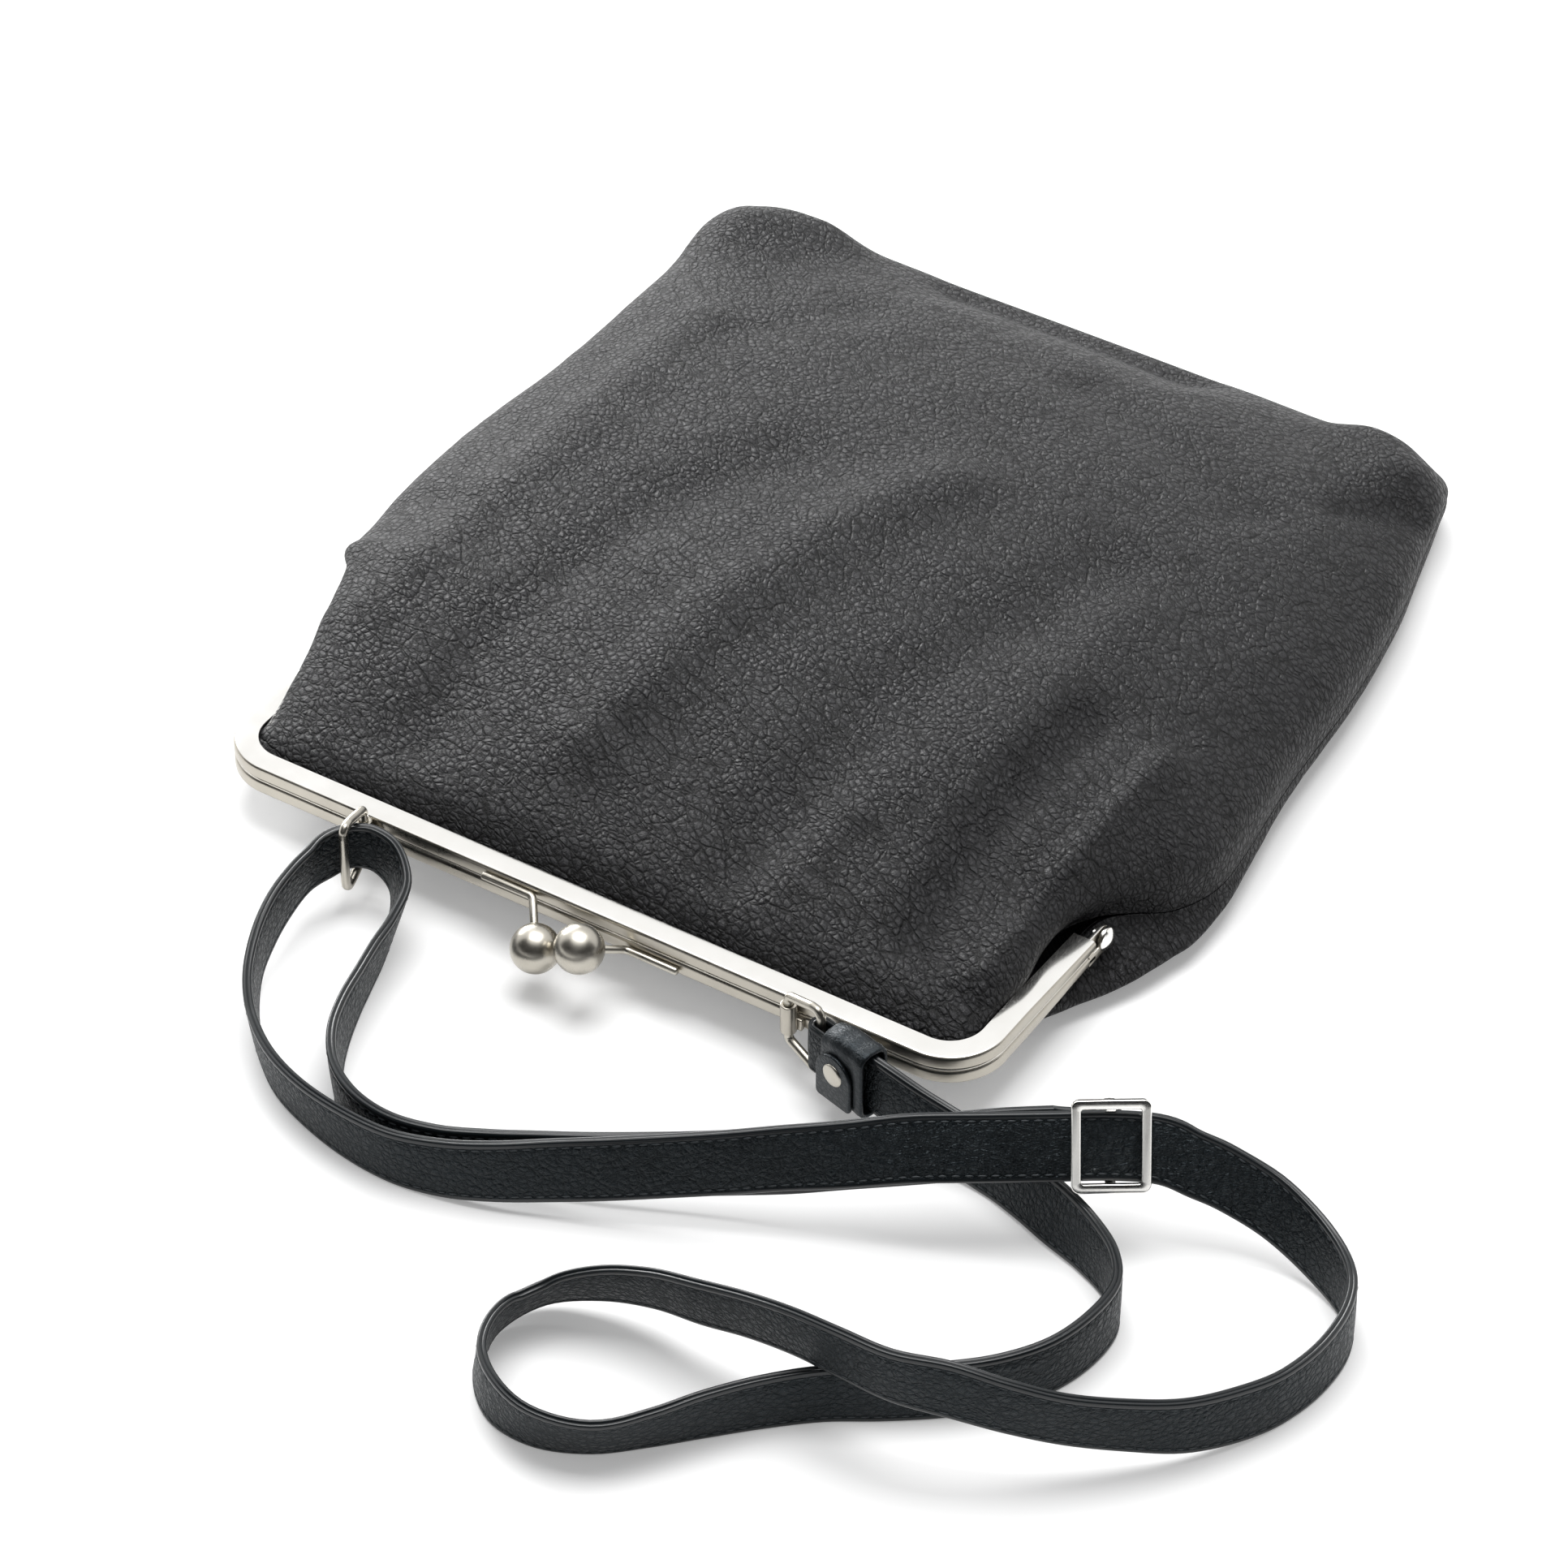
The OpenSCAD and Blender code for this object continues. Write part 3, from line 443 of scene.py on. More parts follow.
# middle of the strap's lower edge: x, y, height, lean in degrees, share of the width
longPath = [
    (94.4, -10, 8.6, 0), (104, -12.6, 8.2, 2), (115, -14.2, 4.8, 8), (127, -14.5, 1.6, 11), (139, -15.8, 0, 10),
    (150, -19, 0, 14), (161, -23, 0, 17), (173.4, -26.6, 0, 10), (185, -32.2, 0, 3), (191.8, -41.2, 0, 0),
    (192.5, -53.9, 0, -1), (188.7, -67.6, 0, 0), (180.8, -79.8, 0, 0), (170, -90, 0, 0), (158, -99, 0, 0),
    (146, -107, 0, 0), (134.6, -117.1, 0, 3), (123.9, -127.9, 0, 9), (114, -138.1, 0, 18),
    (103.6, -147.4, 0, 23), (90.9, -153, 0, 15), (78.1, -152.5, 0, 2), (68.4, -146.1, 0, -4),
    (61.6, -135.8, 0, -14), (59.6, -124, 0.6, -25), (65.7, -112.3, 2.8, -29), (79.1, -105.9, 6, -23),
    (93.9, -103.8, 9.3, -18), (109, -105, 12.7, -13), (123, -105.2, 15.9, -12), (138, -106.6, 18.9, -10),
    (153, -108.3, 20.3, -7), (167.5, -108.4, 20.3, -5), (181.5, -104.5, 19, 0), (194.1, -98.4, 15.4, -3),
    (205.9, -90.4, 11, -6), (217.9, -80.7, 7, -5), (228.6, -70.7, 3.5, -2), (236.9, -58.7, 1.2, 0),
    (242.8, -45.8, 0, -1), (246, -31.7, 0, 0), (245.4, -17.2, 0, 1), (239.6, -6, 0, -2), (226.8, 0.3, 2.2, -12),
    (212, 2.2, 7.8, -19), (199.8, -0.4, 13.6, -22), (191.8, -3.9, 17.5, -25), (184, -7.06, 20.6, -26),
    (174, -13.8, 22.2, -26), (161.6, -22.2, 22.2, -26), (147.5, -31.7, 22.2, -26), (131.3, -42.6, 22.2, -26),
    (116, -50.5, 19, -21), (101, -57, 15.6, -16), (88, -63.3, 12.6, -14), (74, -70.3, 9.9, -13),
    (61, -77, 7.6, -13), (48, -83, 5.3, -12), (34, -89, 3, -8), (20, -93, 0.8, -4), (5, -95, 0, 2),
    (-10, -93.9, 0, 5), (-25, -90.2, 0, 8), (-38.8, -84.5, 0, 8), (-50.7, -75.6, 0, 8), (-60.3, -66.2, 1.8, 4),
    (-67.4, -55.1, 4.8, -1), (-71.4, -43.4, 7, -3), (-73.9, -32.2, 8.3, -7), (-74.6, -22.3, 9.6, -9, 0.94),
    (-71.6, -15.6, 11.2, 0, 0.86), (-68.6, -10.1, 12.1, 0, 0.79)]
returnPath = [
    (-62.6, -7, 11.2, 0, 0.84), (-55.2, -9, 7.8, 5, 0.95), (-50.2, -17.6, 4.4, 17), (-46.3, -28.4, 1.6, 14),
    (-43.3, -38.5, 0.4, 9), (-40, -48.6, 0, 6), (-35.1, -60.6, 0, 0), (-29.1, -71.3, 0, -4), (-21, -81, 0, -4),
    (-10.5, -88, 0, -1), (2, -90.6, 0, 1), (15, -88.3, 0, 2), (28.5, -83.4, 0.6, 5), (40, -78.9, 1.6, 8),
    (52, -74.2, 2.8, 11), (64, -68.6, 4, 13), (76, -62.7, 5.5, 14), (88.5, -56.7, 7.4, 16),
    (101, -50.8, 9.6, 18), (113, -44.6, 12.2, 21), (125, -38.8, 15, 24), (136.5, -33, 17.6, 26),
    (148.5, -26.3, 19.9, 26), (160, -18.5, 20.4, 26)]
startEnd = 7
ringEnd = len(longPath) - 1
strapRows = smoothRows([(*p, 1)[:5] for p in longPath + returnPath], lambda row, after: strap["steps"])


def bandSection(look, width, thick):
    # outline in (across the thickness, up the width): two layers meet in a groove at each painted edge, and a
    # shallow groove runs along each face where the stitches or the pressed line lie
    t = thick / 2
    low = [(-t, 0.75), (-t * 0.9, 0.3), (-t * 0.62, 0.02), (-t * 0.3, 0.06), (0, 0.34), (t * 0.3, 0.06),
           (t * 0.62, 0.02), (t * 0.9, 0.3), (t, 0.75)]
    at = look["lineIn"]
    face = [(t, at - 0.6), (t - look["dent"], at), (t, at + 0.6), (t + 0.05, 5), (t + 0.09, width / 2)]
    face += [(v, width - u) for v, u in reversed(face[:-1])]
    half = low + face
    return half + [(-v, width - u) for v, u in half], len(low), len(half)


def leatherBand(name, stations, look, width, thick):
    # stations: (middle of the lower edge, way across the thickness, way up the width), 1 mm long each
    outline, edgeCount, halfCount = bandSection(look, width, thick)
    count = len(outline)
    rings = [[base + side * v + up * u for v, u in outline] for base, side, up in stations]
    points, faces = ringsToMesh(rings)
    piece = meshPiece(name, points, faces, materials["strapCowhide"], 50)
    piece.data.materials.append(materials["edgePaint"])
    for k, face in enumerate(piece.data.polygons):
        within = k % count % halfCount
        atEdge = within < edgeCount or within == halfCount - 1
        face.material_index = 1 if atEdge or k >= count * (len(rings) - 1) else 0
    return pointOutwards(piece)


def strapStation(i):
    p = strapRows[i]
    before, after = strapRows[max(i - 1, 0)], strapRows[min(i + 1, len(strapRows) - 1)]
    ahead = Vector((after[0] - before[0], after[1] - before[1], 0)).normalized()
    n = Vector((-ahead.y, ahead.x, 0))
    lean = math.radians(p[3])
    up = Vector((0, 0, math.cos(lean))) + n * math.sin(lean)
    side = n * math.cos(lean) - Vector((0, 0, math.sin(lean)))
    low = max(p[2], strap["thick"] / 2 * abs(math.sin(lean)))
    return place(p[0], p[1], low), side * mm, up * mm * p[4]


def strapPiece(name, first, last):
    stations = [strapStation(i) for i in range(first * strap["steps"], last * strap["steps"] + 1)]
    piece = leatherBand(name, stations, strap, strap["width"], strap["thick"])
    out = strap["thick"] / 2 - strap["dent"] + strap["threadOut"]
    rows = [(v, u) for v in (-out, out) for u in (strap["lineIn"], strap["width"] - strap["lineIn"])]
    lines = [[base + side * v + up * u for base, side, up in stations] for v, u in rows]
    threads = stitchPiece(name + "Stitches", lines, strap["stitchPitch"], strap["stitchLength"], strap["thread"])
    return piece, threads, [base + up * strap["width"] / 2 for base, side, up in stations]


# first row, last row, node, and where the strap turns over from one body to the next
strapParts = {
    "strapStart": (0, startEnd, "strap_start", ("right_ring_swivel", "bag", (96, -10.5, 17), (150, -19, 9))),
    "strapLong": (startEnd, ringEnd, "strap_long", None),
    "strapReturn": (ringEnd, ringEnd + len(returnPath), "strap_return",
                    ("slider", "bag", (159, -19, 30), (60, -70, 13)))}
strapPaths = {}
for name, (first, last, node, bends) in strapParts.items():
    piece, threads, strapPaths[name] = strapPiece(name, first, last)
    for part in (piece, threads):
        if bends:
            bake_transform(part)
        else:
            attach(part, "bag")
    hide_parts(node)
print("strap made")


def roundedRect(halfX, halfY, radius, steps=5):
    corners = [(halfX - radius, halfY - radius, 0), (radius - halfX, halfY - radius, 90),
               (radius - halfX, radius - halfY, 180), (halfX - radius, radius - halfY, 270)]
    return [p for x, y, start in corners for p in arc((x, y), radius, start, start + 90, steps)]


def plate(outline, toPoint, depth, edge, steps=3):
    # a flat piece, depth mm thick, whose rim is rounded by edge mm on both faces
    outwards = []
    for i in range(len(outline)):
        ahead = Vector(outline[(i + 1) % len(outline)]) - Vector(outline[i - 1])
        outwards.append(Vector((ahead.y, -ahead.x)).normalized())
    turns = [math.pi / 2 * k / steps for k in range(steps + 1)]
    profile = [(edge * (1 - math.sin(t)), edge * (1 - math.cos(t))) for t in turns]
    profile += [(inset, depth - at) for inset, at in reversed(profile)]
    rings = [[toPoint(x - n.x * inset, y - n.y * inset, at) for (x, y), n in zip(outline, outwards)]
             for inset, at in profile]
    return ringsToMesh(rings)


def joined(*shapes):
    points, faces = [], []
    for somePoints, someFaces in shapes:
        first = len(points)
        points += somePoints
        faces += [tuple(i + first for i in face) for face in someFaces]
    return points, faces


def frameAt(origin, turn, lean=0):
    return Matrix.Translation(origin) @ Matrix.Rotation(math.radians(turn), 4, "Z") \
        @ Matrix.Rotation(math.radians(lean), 4, "X")


# sheet steel frame, sizes in mm; the section is (inwards from the outer side, up from the seam)
frameLook = {"half": 124, "corner": 17.4, "armEnd": 64, "taperFrom": 30, "taperDrop": 1.2, "seam": 18, "gap": 0.2,
             "hingeY": 70, "tab": 3.4, "tabThick": 1.1, "frontTabIn": 1.5, "paperEnd": 40}
channel = [(6.9, 0), *arc((1.1, 1.1), 1.1, 270, 180, 6), *arc((1.1, 3.3), 1.1, 180, 90, 6), (4, 4.45), (6.9, 4.4),
           (7, 4.3), (7, 3.9), (6.9, 3.8), *arc((1.1, 3.3), 0.5, 90, 180, 4), *arc((1.1, 1.1), 0.5, 180, 270, 4),
           (6.9, 0.6), (7, 0.5), (7, 0.1)]


def frameStations(end):
    corner = frameLook["half"] - frameLook["corner"]
    left = [(-frameLook["half"], end + (frameLook["corner"] - end) * k / 16, 1, 0) for k in range(16)]
    for k in range(25):
        t = math.radians(180 + 90 * k / 24)
        left.append((-corner + frameLook["corner"] * math.cos(t),
                     frameLook["corner"] * (1 + math.sin(t)), -math.cos(t), -math.sin(t)))
    left += [(x, 0, 0, 1) for x in (-80, -53, -26)]
    return left + [(0, 0, 0, 1)] + [(-x, y, -nx, ny) for x, y, nx, ny in reversed(left)]


def alongFrame(section, end, way):
    rings = []
    tapered = frameLook["armEnd"] - frameLook["taperFrom"]
    for x, y, nx, ny in frameStations(end):
        taper = frameLook["taperDrop"] * max(0, y - frameLook["taperFrom"]) / tapered
        ring = []
        for d, h in section:
            lowered = h - taper * min(max((h - 1.1) / 2.2, 0), 1)
            ring.append(place(x + nx * d, y + ny * d, frameLook["seam"] + way * (frameLook["gap"] + lowered)))
        rings.append(ring)
    return ringsToMesh(rings)


def hingeTab(side, way, tabIn):
    radius, y0 = frameLook["tab"], frameLook["hingeY"]
    outline = [(61, 3.4), (61, 0.2), *arc((y0, 0), radius, 176.6, 450, 36)]
    outline = [(y, h * way) for y, h in outline][::way]
    outer = side * (frameLook["half"] - tabIn - frameLook["tabThick"])
    return plate(outline, lambda y, h, at: place(outer + side * at, y, frameLook["seam"] + h),
                 frameLook["tabThick"], 0.2)


for side, body, way, tabIn in (("front", "front_half", 1, frameLook["frontTabIn"]), ("back", "bag", -1, 0)):
    shape = joined(alongFrame(channel, frameLook["armEnd"], way), hingeTab(-1, way, tabIn),
                   hingeTab(1, way, tabIn))
    half = pointOutwards(meshPiece(side + "Frame", *shape, materials["satinNickel"]))
    half.data.materials.append(materials["polishedNickel"])
    for face in half.data.polygons:
        face.material_index = 1 if abs(face.normal.z) > 0.8 else 0  # the flat faces are polished and lighter, the walls satin and darker: painted light on the flat faces and painted shade on the walls
    finishPiece(half, body, side + "_frame")
    # twisted paper cord, pushed into the channel to hold the leather and the lining
    cordSection = [(3.4 + 2.1 * math.cos(t), 1.4 + 0.55 * math.sin(t))
                   for t in (2 * math.pi * k / 16 for k in range(16))]
    solidPiece(side + "PaperCord", alongFrame(cordSection, frameLook["paperEnd"], way), "twistedPaper", body,
               side + "_paper_cord")

# domed head outside, shank through both tabs, turned-over end inside
rivetProfile = [(5.1 * math.sin(t), 5.1 * math.cos(t) - 3.52) for t in (0.02, 0.15, 0.3, 0.45, 0.6, 0.7)]
rivetProfile += [(3.45, 0.27), (3.5, 0.15), (3.42, 0.08), (1.1, 0.08), (1.1, -3.1), (1.85, -3.1), (2, -3.25),
                 (2, -3.85), (1.85, -4), (0.02, -4)]
for side, name in ((-1, "left"), (1, "right")):
    base = place(side * frameLook["half"], frameLook["hingeY"], frameLook["seam"])
    solidPiece(name + "HingeRivet", turned(rivetProfile, base, Vector((side, 0, 0))), "polishedNickel", "bag",
               name + "_hinge_rivet")
print("frame made")

# kiss lock: solid balls on bent wire, each stem soldered along the bar
lock = {"ball": 7, "spacing": 14.4, "middle": 1.9, "reach": 13, "rise": 3.4, "wire": 1.15, "bend": 2.4,
        "bendX": 15.2, "endX": 31.2, "wireMiddle": 1.1, "wireY": -1.2, "wireRise": 2.3}
for side, half, body in ((-1, "front", "front_half"), (1, "back", "bag")):
    seam = frameLook["seam"]
    centre = place(side * lock["spacing"] / 2 + lock["middle"], -lock["reach"], seam + side * lock["rise"])
    start, bend = [place(side * x + lock["wireMiddle"], lock["wireY"], seam - side * lock["wireRise"])
                   for x in (lock["endX"], lock["bendX"])]
    way = (bend - centre).normalized()
    profile = [(lock["ball"] * math.sin(t), -lock["ball"] * math.cos(t))
               for t in (0.003 + (math.pi - 0.29) * k / 48 for k in range(49))]
    profile += [(1.9, 6.95), (1.7, 7.12), (1.2, 7.15), (1.19, 5.1), (0.02, 5.05)]  # the hole for the stem
    solidPiece(half + "Ball", turned(profile, centre, way, 96), "tumbledNickel", body,
               half + "_ball")
    path = roundedPath([(start, 0), (bend, lock["bend"] * mm), (centre + way * 5.2 * mm, 0)], 10)
    solidPiece(half + "BallStem", tubeAlong(path, lock["wire"] * mm, 24, dome=True), "tumbledNickel", body,
               half + "_ball_stem")

# strap rings and the rolled tubes that hold them
rings = {"x": 69, "y": -2.75, "wire": 1.3, "bend": 1.25, "tubeLow": 13.75, "footUp": 15.6,
         "shape": [(0, -6.6), (0, 6.6), (0.7, 7.7), (9.7, 10.4), (11.9, 10.5), (13.1, 9.3), (13.3, 7.7),
                   (13.3, -7.7), (13.1, -9.3), (11.9, -10.5), (9.7, -10.4), (0.7, -7.7)]}
tubeProfile = [(2, 0), *arc((2.0, 0.3), 0.3, 270, 360, 3), *arc((2.0, 9.2), 0.3, 0, 90, 3),
               *arc((1.6, 9.28), 0.22, 90, 180, 3), *arc((1.6, 0.22), 0.22, 180, 270, 3), (2, 0)]
for side, name, turn, height in ((-1, "left", -78, 19.6), (1, "right", -17, 18.5)):
    spot = frameAt(place(side * rings["x"], rings["y"], height), turn)
    corners = [(spot @ (Vector((reach, 0, up)) * mm), rings["bend"] * mm) for reach, up in rings["shape"]]
    solidPiece(name + "Ring", tubeAlong(roundedPath(corners, 6, True), rings["wire"] * mm, 24, closed=True),
               "tumbledNickel", name + "_ring_swivel", name + "_ring")
    tube = turned(tubeProfile, place(side * rings["x"], rings["y"], rings["tubeLow"]), Vector((0, 0, 1)), 64)
    foot = plate(roundedRect(3.4, 1.9, 0.5),
                 lambda x, z, at: place(side * rings["x"] + x, -0.01 - at, rings["footUp"] + z), 1.5, 0.35)
    solidPiece(name + "RingBracket", joined(tube, foot), "satinNickel", "bag",
               name + "_ring_bracket")
print("lock and rings made")

# the strap's end folded round the right ring, a wrap over it and a bare domed rivet through them
foldAt = frameAt(spot @ (Vector((13.3, 0, -0.6)) * mm), -15)
ringFold = {"width": 15, "thick": 1.9, "centre": 2.5, "end": 11.5, "lineIn": 1.3, "dent": 0.22}
way = foldAt.to_3x3()
turns = [(ringFold["end"] * (1 - k / 6), 90) for k in range(6)] + [(0, 90 + 180 * k / 20) for k in range(21)]
turns += [(ringFold["end"] * (k + 1) / 6, 270) for k in range(6)]
stations = []
for x, t in turns:
    out = Vector((math.cos(math.radians(t)), math.sin(math.radians(t)), 0))
    at = Vector((x, 0, -ringFold["width"] / 2)) + out * ringFold["centre"]
    stations.append((foldAt @ (at * mm), way @ out * mm, way @ Vector((0, 0, 1)) * mm))
finishPiece(leatherBand("ringFold", stations, ringFold, ringFold["width"], ringFold["thick"]),
            "right_ring_swivel", "ring_fold")

wrap = {"start": 4.4, "length": 16.2, "halfY": 4.95, "halfZ": 11.15, "thick": 1.4, "corner": 3.4, "slim": 1.4,
        "tongue": 6.6, "tongueUp": -0.5, "tongueThick": 1.1, "tongueCorner": 1.5, "rivetX": 10.8}
lip = wrap["thick"] / 2
wrapEnd = wrap["start"] + wrap["length"]
profile = [(wrapEnd - lip - (wrap["length"] - 2 * lip) * k / 12, 0.12 * math.sin(math.pi * k / 2))
           for k in range(12)]
profile += arc((wrap["start"] + lip, -lip), lip, 90, 270, 8)
profile += [(wrapEnd - lip - 6, -wrap["thick"])] + arc((wrapEnd - lip, -lip), lip, 270, 450, 8)
wrapRings = []
for x, grow in profile:
    # each side of the sleeve sinks a little over the gap between the layers inside
    slim = wrap["slim"] * max(0, 1 - (x - wrap["start"]) / 8) ** 2
    ring = roundedRect(wrap["halfY"] + grow - 0.3 * slim, wrap["halfZ"] + grow - slim,
                       max(wrap["corner"] + grow, 0.9), 7)
    ring = [(y * (1 - 0.04 * math.cos(z * 0.14) ** 2 + 0.015 * math.sin(x * 0.9 + z * 0.5)), z) for y, z in ring]
    wrapRings.append([foldAt @ (Vector((x, y, z)) * mm) for y, z in ring])
sleeve = ringsToMesh(wrapRings, caps=False)
tongueLow = -wrap["halfZ"] + 1.1
tongue = arc((wrap["rivetX"], wrap["tongueUp"]), wrap["tongue"], 0, 180, 30)
for side, start in ((-1, 180), (1, 270)):
    corner = (wrap["rivetX"] + side * (wrap["tongue"] - wrap["tongueCorner"]), tongueLow + wrap["tongueCorner"])
    tongue += arc(corner, wrap["tongueCorner"], start, start + 90, 5)
tongueShape = plate(tongue, lambda x, z, at: foldAt @ (Vector((x, 0.15 - wrap["halfY"] - at, z)) * mm),
                    wrap["tongueThick"] + 0.15, 0.5, 4)
solidPiece("strapWrap", joined(sleeve, tongueShape), "wrapCalf", "right_ring_swivel",
           "strap_wrap", 60)
capProfile = [(13 * math.sin(t), 13 * math.cos(t) - 12.25) for t in (0.003, 0.06, 0.12, 0.18, 0.22)]
capProfile += [(3.2, 0.32), (3.42, 0.14), (3.46, 0.02), (3.38, -0.06), (1.1, -0.06), (1.1, -10.8), (0.02, -10.8)]
backProfile = [(0.02, 0.9), (2.6, 0.9), (2.9, 0.75), (3, 0.5), (3, 0.1), (2.9, 0), (0.02, 0)]
for name, node, profile, y, out in (
        ("wrapRivet", "wrap_rivet", capProfile, -wrap["halfY"] - wrap["tongueThick"], -1),
        ("wrapRivetBack", "wrap_rivet_back", backProfile, wrap["halfY"] + 0.02, 1)):
    base = foldAt @ (Vector((wrap["rivetX"], y, 0)) * mm)
    solidPiece(name, turned(profile, base, way @ Vector((0, out, 0))), "tumbledNickel", "right_ring_swivel",
               node)
print("strap end made")

# slider: a polished flat frame with a bar behind it that the strap's end is folded round
slider = {"at": (171.6, -10.24, 31.01), "turn": 34, "lean": -26, "length": 20.6, "height": 25, "side": 2.5,
          "thick": 1.8, "corner": 2.2, "innerCorner": 0.8, "face": -1.45, "barY": 4.6, "bar": 1.1, "barEnd": 2,
          "lugThick": 1.6}
sliderAt = frameAt(place(*slider["at"]), slider["turn"], slider["lean"])
way = sliderAt.to_3x3()
outer = roundedRect(slider["length"] / 2, slider["height"] / 2, slider["corner"], 8)
inner = roundedRect(slider["length"] / 2 - slider["side"], slider["height"] / 2 - slider["side"],
                    slider["innerCorner"], 8)
section = [(f / slider["side"], at) for f, at in
           [(x + slider["side"] / 2, y + slider["thick"] / 2)
            for x, y in roundedRect(slider["side"] / 2, slider["thick"] / 2, 0.35, 4)]]
sliderRings = [[sliderAt @ (Vector((ax + (bx - ax) * f, slider["face"] - at, az + (bz - az) * f)) * mm)
                for f, at in section] for (ax, az), (bx, bz) in zip(outer, inner)]
sliderRings.append(sliderRings[0])
lugs = [plate(roundedRect(1.5, 3.5, 0.6), lambda x, y, at: sliderAt @ (Vector((x, y + 2.1, low + at)) * mm),
              slider["lugThick"], 0.3) for low in (0.5 - slider["height"] / 2, slider["height"] / 2 - 3.6)]
solidPiece("sliderFrame", joined(ringsToMesh(sliderRings, caps=False), *lugs), "polishedNickel", "slider",
           "slider_frame")
barHalf = slider["height"] / 2 - slider["barEnd"]
radius = slider["bar"]
profile = [(0.02, -barHalf), (radius - 0.2, -barHalf), (radius, -barHalf + 0.2), (radius, barHalf - 0.2),
           (radius - 0.2, barHalf), (0.02, barHalf)]
barAt = sliderAt @ (Vector((0, slider["barY"], 0)) * mm)
solidPiece("sliderBar", turned(profile, barAt, way @ Vector((0, 0, 1))), "polishedNickel", "slider",
           "slider_bar")
sliderFold = {"width": 18.6, "thick": 1.9, "outside": 3.1, "tail": 14, "lineIn": 2, "dent": 0.22}
thick = sliderFold["thick"]
turns = [(-sliderFold["tail"] * (1 - k / 8), -90, strap["thick"] - 0.7 * min(1, k / 4)) for k in range(8)]
turns += [(0, -90 + 180 * k / 20, thick) for k in range(21)] + [(-1.2 * k, 90, thick) for k in range(1, 7)]
stations = []
for x, t, thick in turns:
    out = Vector((math.cos(math.radians(t)), math.sin(math.radians(t)), 0))
    at = Vector((x, slider["barY"] - 0.02 * x * math.sin(math.radians(t)), -sliderFold["width"] / 2 - 0.5))
    at += out * (sliderFold["outside"] - thick / 2)
    station = (sliderAt @ (at * mm), way @ out * mm * thick / sliderFold["thick"], way @ Vector((0, 0, 1)) * mm)
    # the first stretch leads over from the strap itself
    share = smoothStep(x, -sliderFold["tail"], -4) if t < 0 else 1
    base, side, up = strapStation(len(strapRows) - 1)
    if side.dot(station[1]) < 0:
        side = -side
    start = (base, side * strap["thick"] / sliderFold["thick"], up)
    stations.append(tuple(a.lerp(b, share) for a, b in zip(start, station)))
finishPiece(leatherBand("sliderFold", stations, sliderFold, sliderFold["width"], sliderFold["thick"]),
            "slider", "slider_fold")
print("slider made")

# each row of the bag is a cross-section: y, left x, right x, height of its edges, height of its middle,
# and how far its left and right side swell out
seamIn = 116.7
cornerIn = 106.6
bag = {"leather": 1.5, "lining": 0.5, "liningIn": 2.1, "rowPitch": 1.6, "columns": 200, "backRowPitch": 2.2,
       "backColumns": 160, "liningRowPitch": 4, "liningColumns": 80, "wrinkle": 0.5, "ripple": 0.22,
       "farEnd": 312.4}
mouthRows = [
    (7.4, -cornerIn - 2, cornerIn + 2, 20.4, 22, 0, 0), (9, -cornerIn - 5.6, cornerIn + 5.6, 20.4, 25, 0, 0),
    (12.5, 0.9 - seamIn, seamIn - 0.9, 20.4, 28.4, 0, 0), (18, -seamIn, seamIn, 20.4, 31.4, 0.6, 0.3),
    (28, -seamIn, seamIn, 20.6, 34.6, 8, 1), (40, -seamIn, seamIn, 21, 37.8, 14, 2.4),
    (52, -seamIn, seamIn - 3, 20.2, 40.6, 20, 4), (64, -seamIn, seamIn - 4, 19.4, 43, 25, 7),
    (75, -seamIn - 2, seamIn + 2, 18.6, 44.6, 28, 9)]
# both leathers meet along this line: y, left x, right x
seamLine = [(84, -131, 124), (93, -139, 131.5), (108, -144, 136.3), (126, -146, 135.6), (158, -146, 131.4),
            (200, -143, 128.2), (240, -144.6, 121.8), (270, -146.6, 113.8), (289, -148, 108.8),
            (301, -148.5, 105), (307.8, -146, 97), (311.4, -138, 84)]
frontRows = [(75.4, -seamIn - 2, seamIn + 0.5, 18.5, 44.7, 28, 9)] + [a + b for a, b in zip(seamLine, [
    (17, 45.6, 20, 7), (14.8, 46.4, 9, 4), (13.4, 47.4, 3, 3), (13.2, 47.8, 3, 3), (13, 46.8, 3, 3),
    (13, 43.6, 3, 3), (13, 38.6, 3, 3), (12.6, 32.4, 3, 3), (12, 26.4, 2.6, 2.6), (11.4, 21, 2, 2),
    (11, 16.6, 1, 1), (11, 11.4, 0, 0)])]
backRows = [
    (7.4, -cornerIn - 2, cornerIn + 2, 15.6, 14, 0, 0), (9, -cornerIn - 5.6, cornerIn + 5.6, 15.6, 11, 0, 0),
    (12.5, 0.9 - seamIn, seamIn - 0.9, 15.6, 7.6, 0, 0), (18, -seamIn, seamIn, 15.6, 4, 0.3, 0.3),
    (28, -seamIn, seamIn, 15.4, 0.8, 1, 5), (38, -seamIn, seamIn, 15.2, 0, 3, 10),
    (52, -seamIn, seamIn, 14.8, 0, 12, 20), (64, -seamIn, seamIn, 14.8, 0, 18, 28),
    (75, -seamIn - 2, seamIn + 2, 17.8, 0, 22, 32)] + [a + b for a, b in zip(seamLine, [
        (16.5, 0, 17, 29), (14.4, 0, 8, 22), (13, 0, 3, 13), (12.8, 0, 3, 8), (12.6, 0, 3, 4), (12.6, 0, 3, 3),
        (12.6, 0, 3, 3), (12.2, 0, 3, 3), (11.6, 0, 2.6, 2.6), (11, 0.6, 2, 2), (10.6, 4, 1, 1),
        (10.6, 8.8, 0, 0)])]
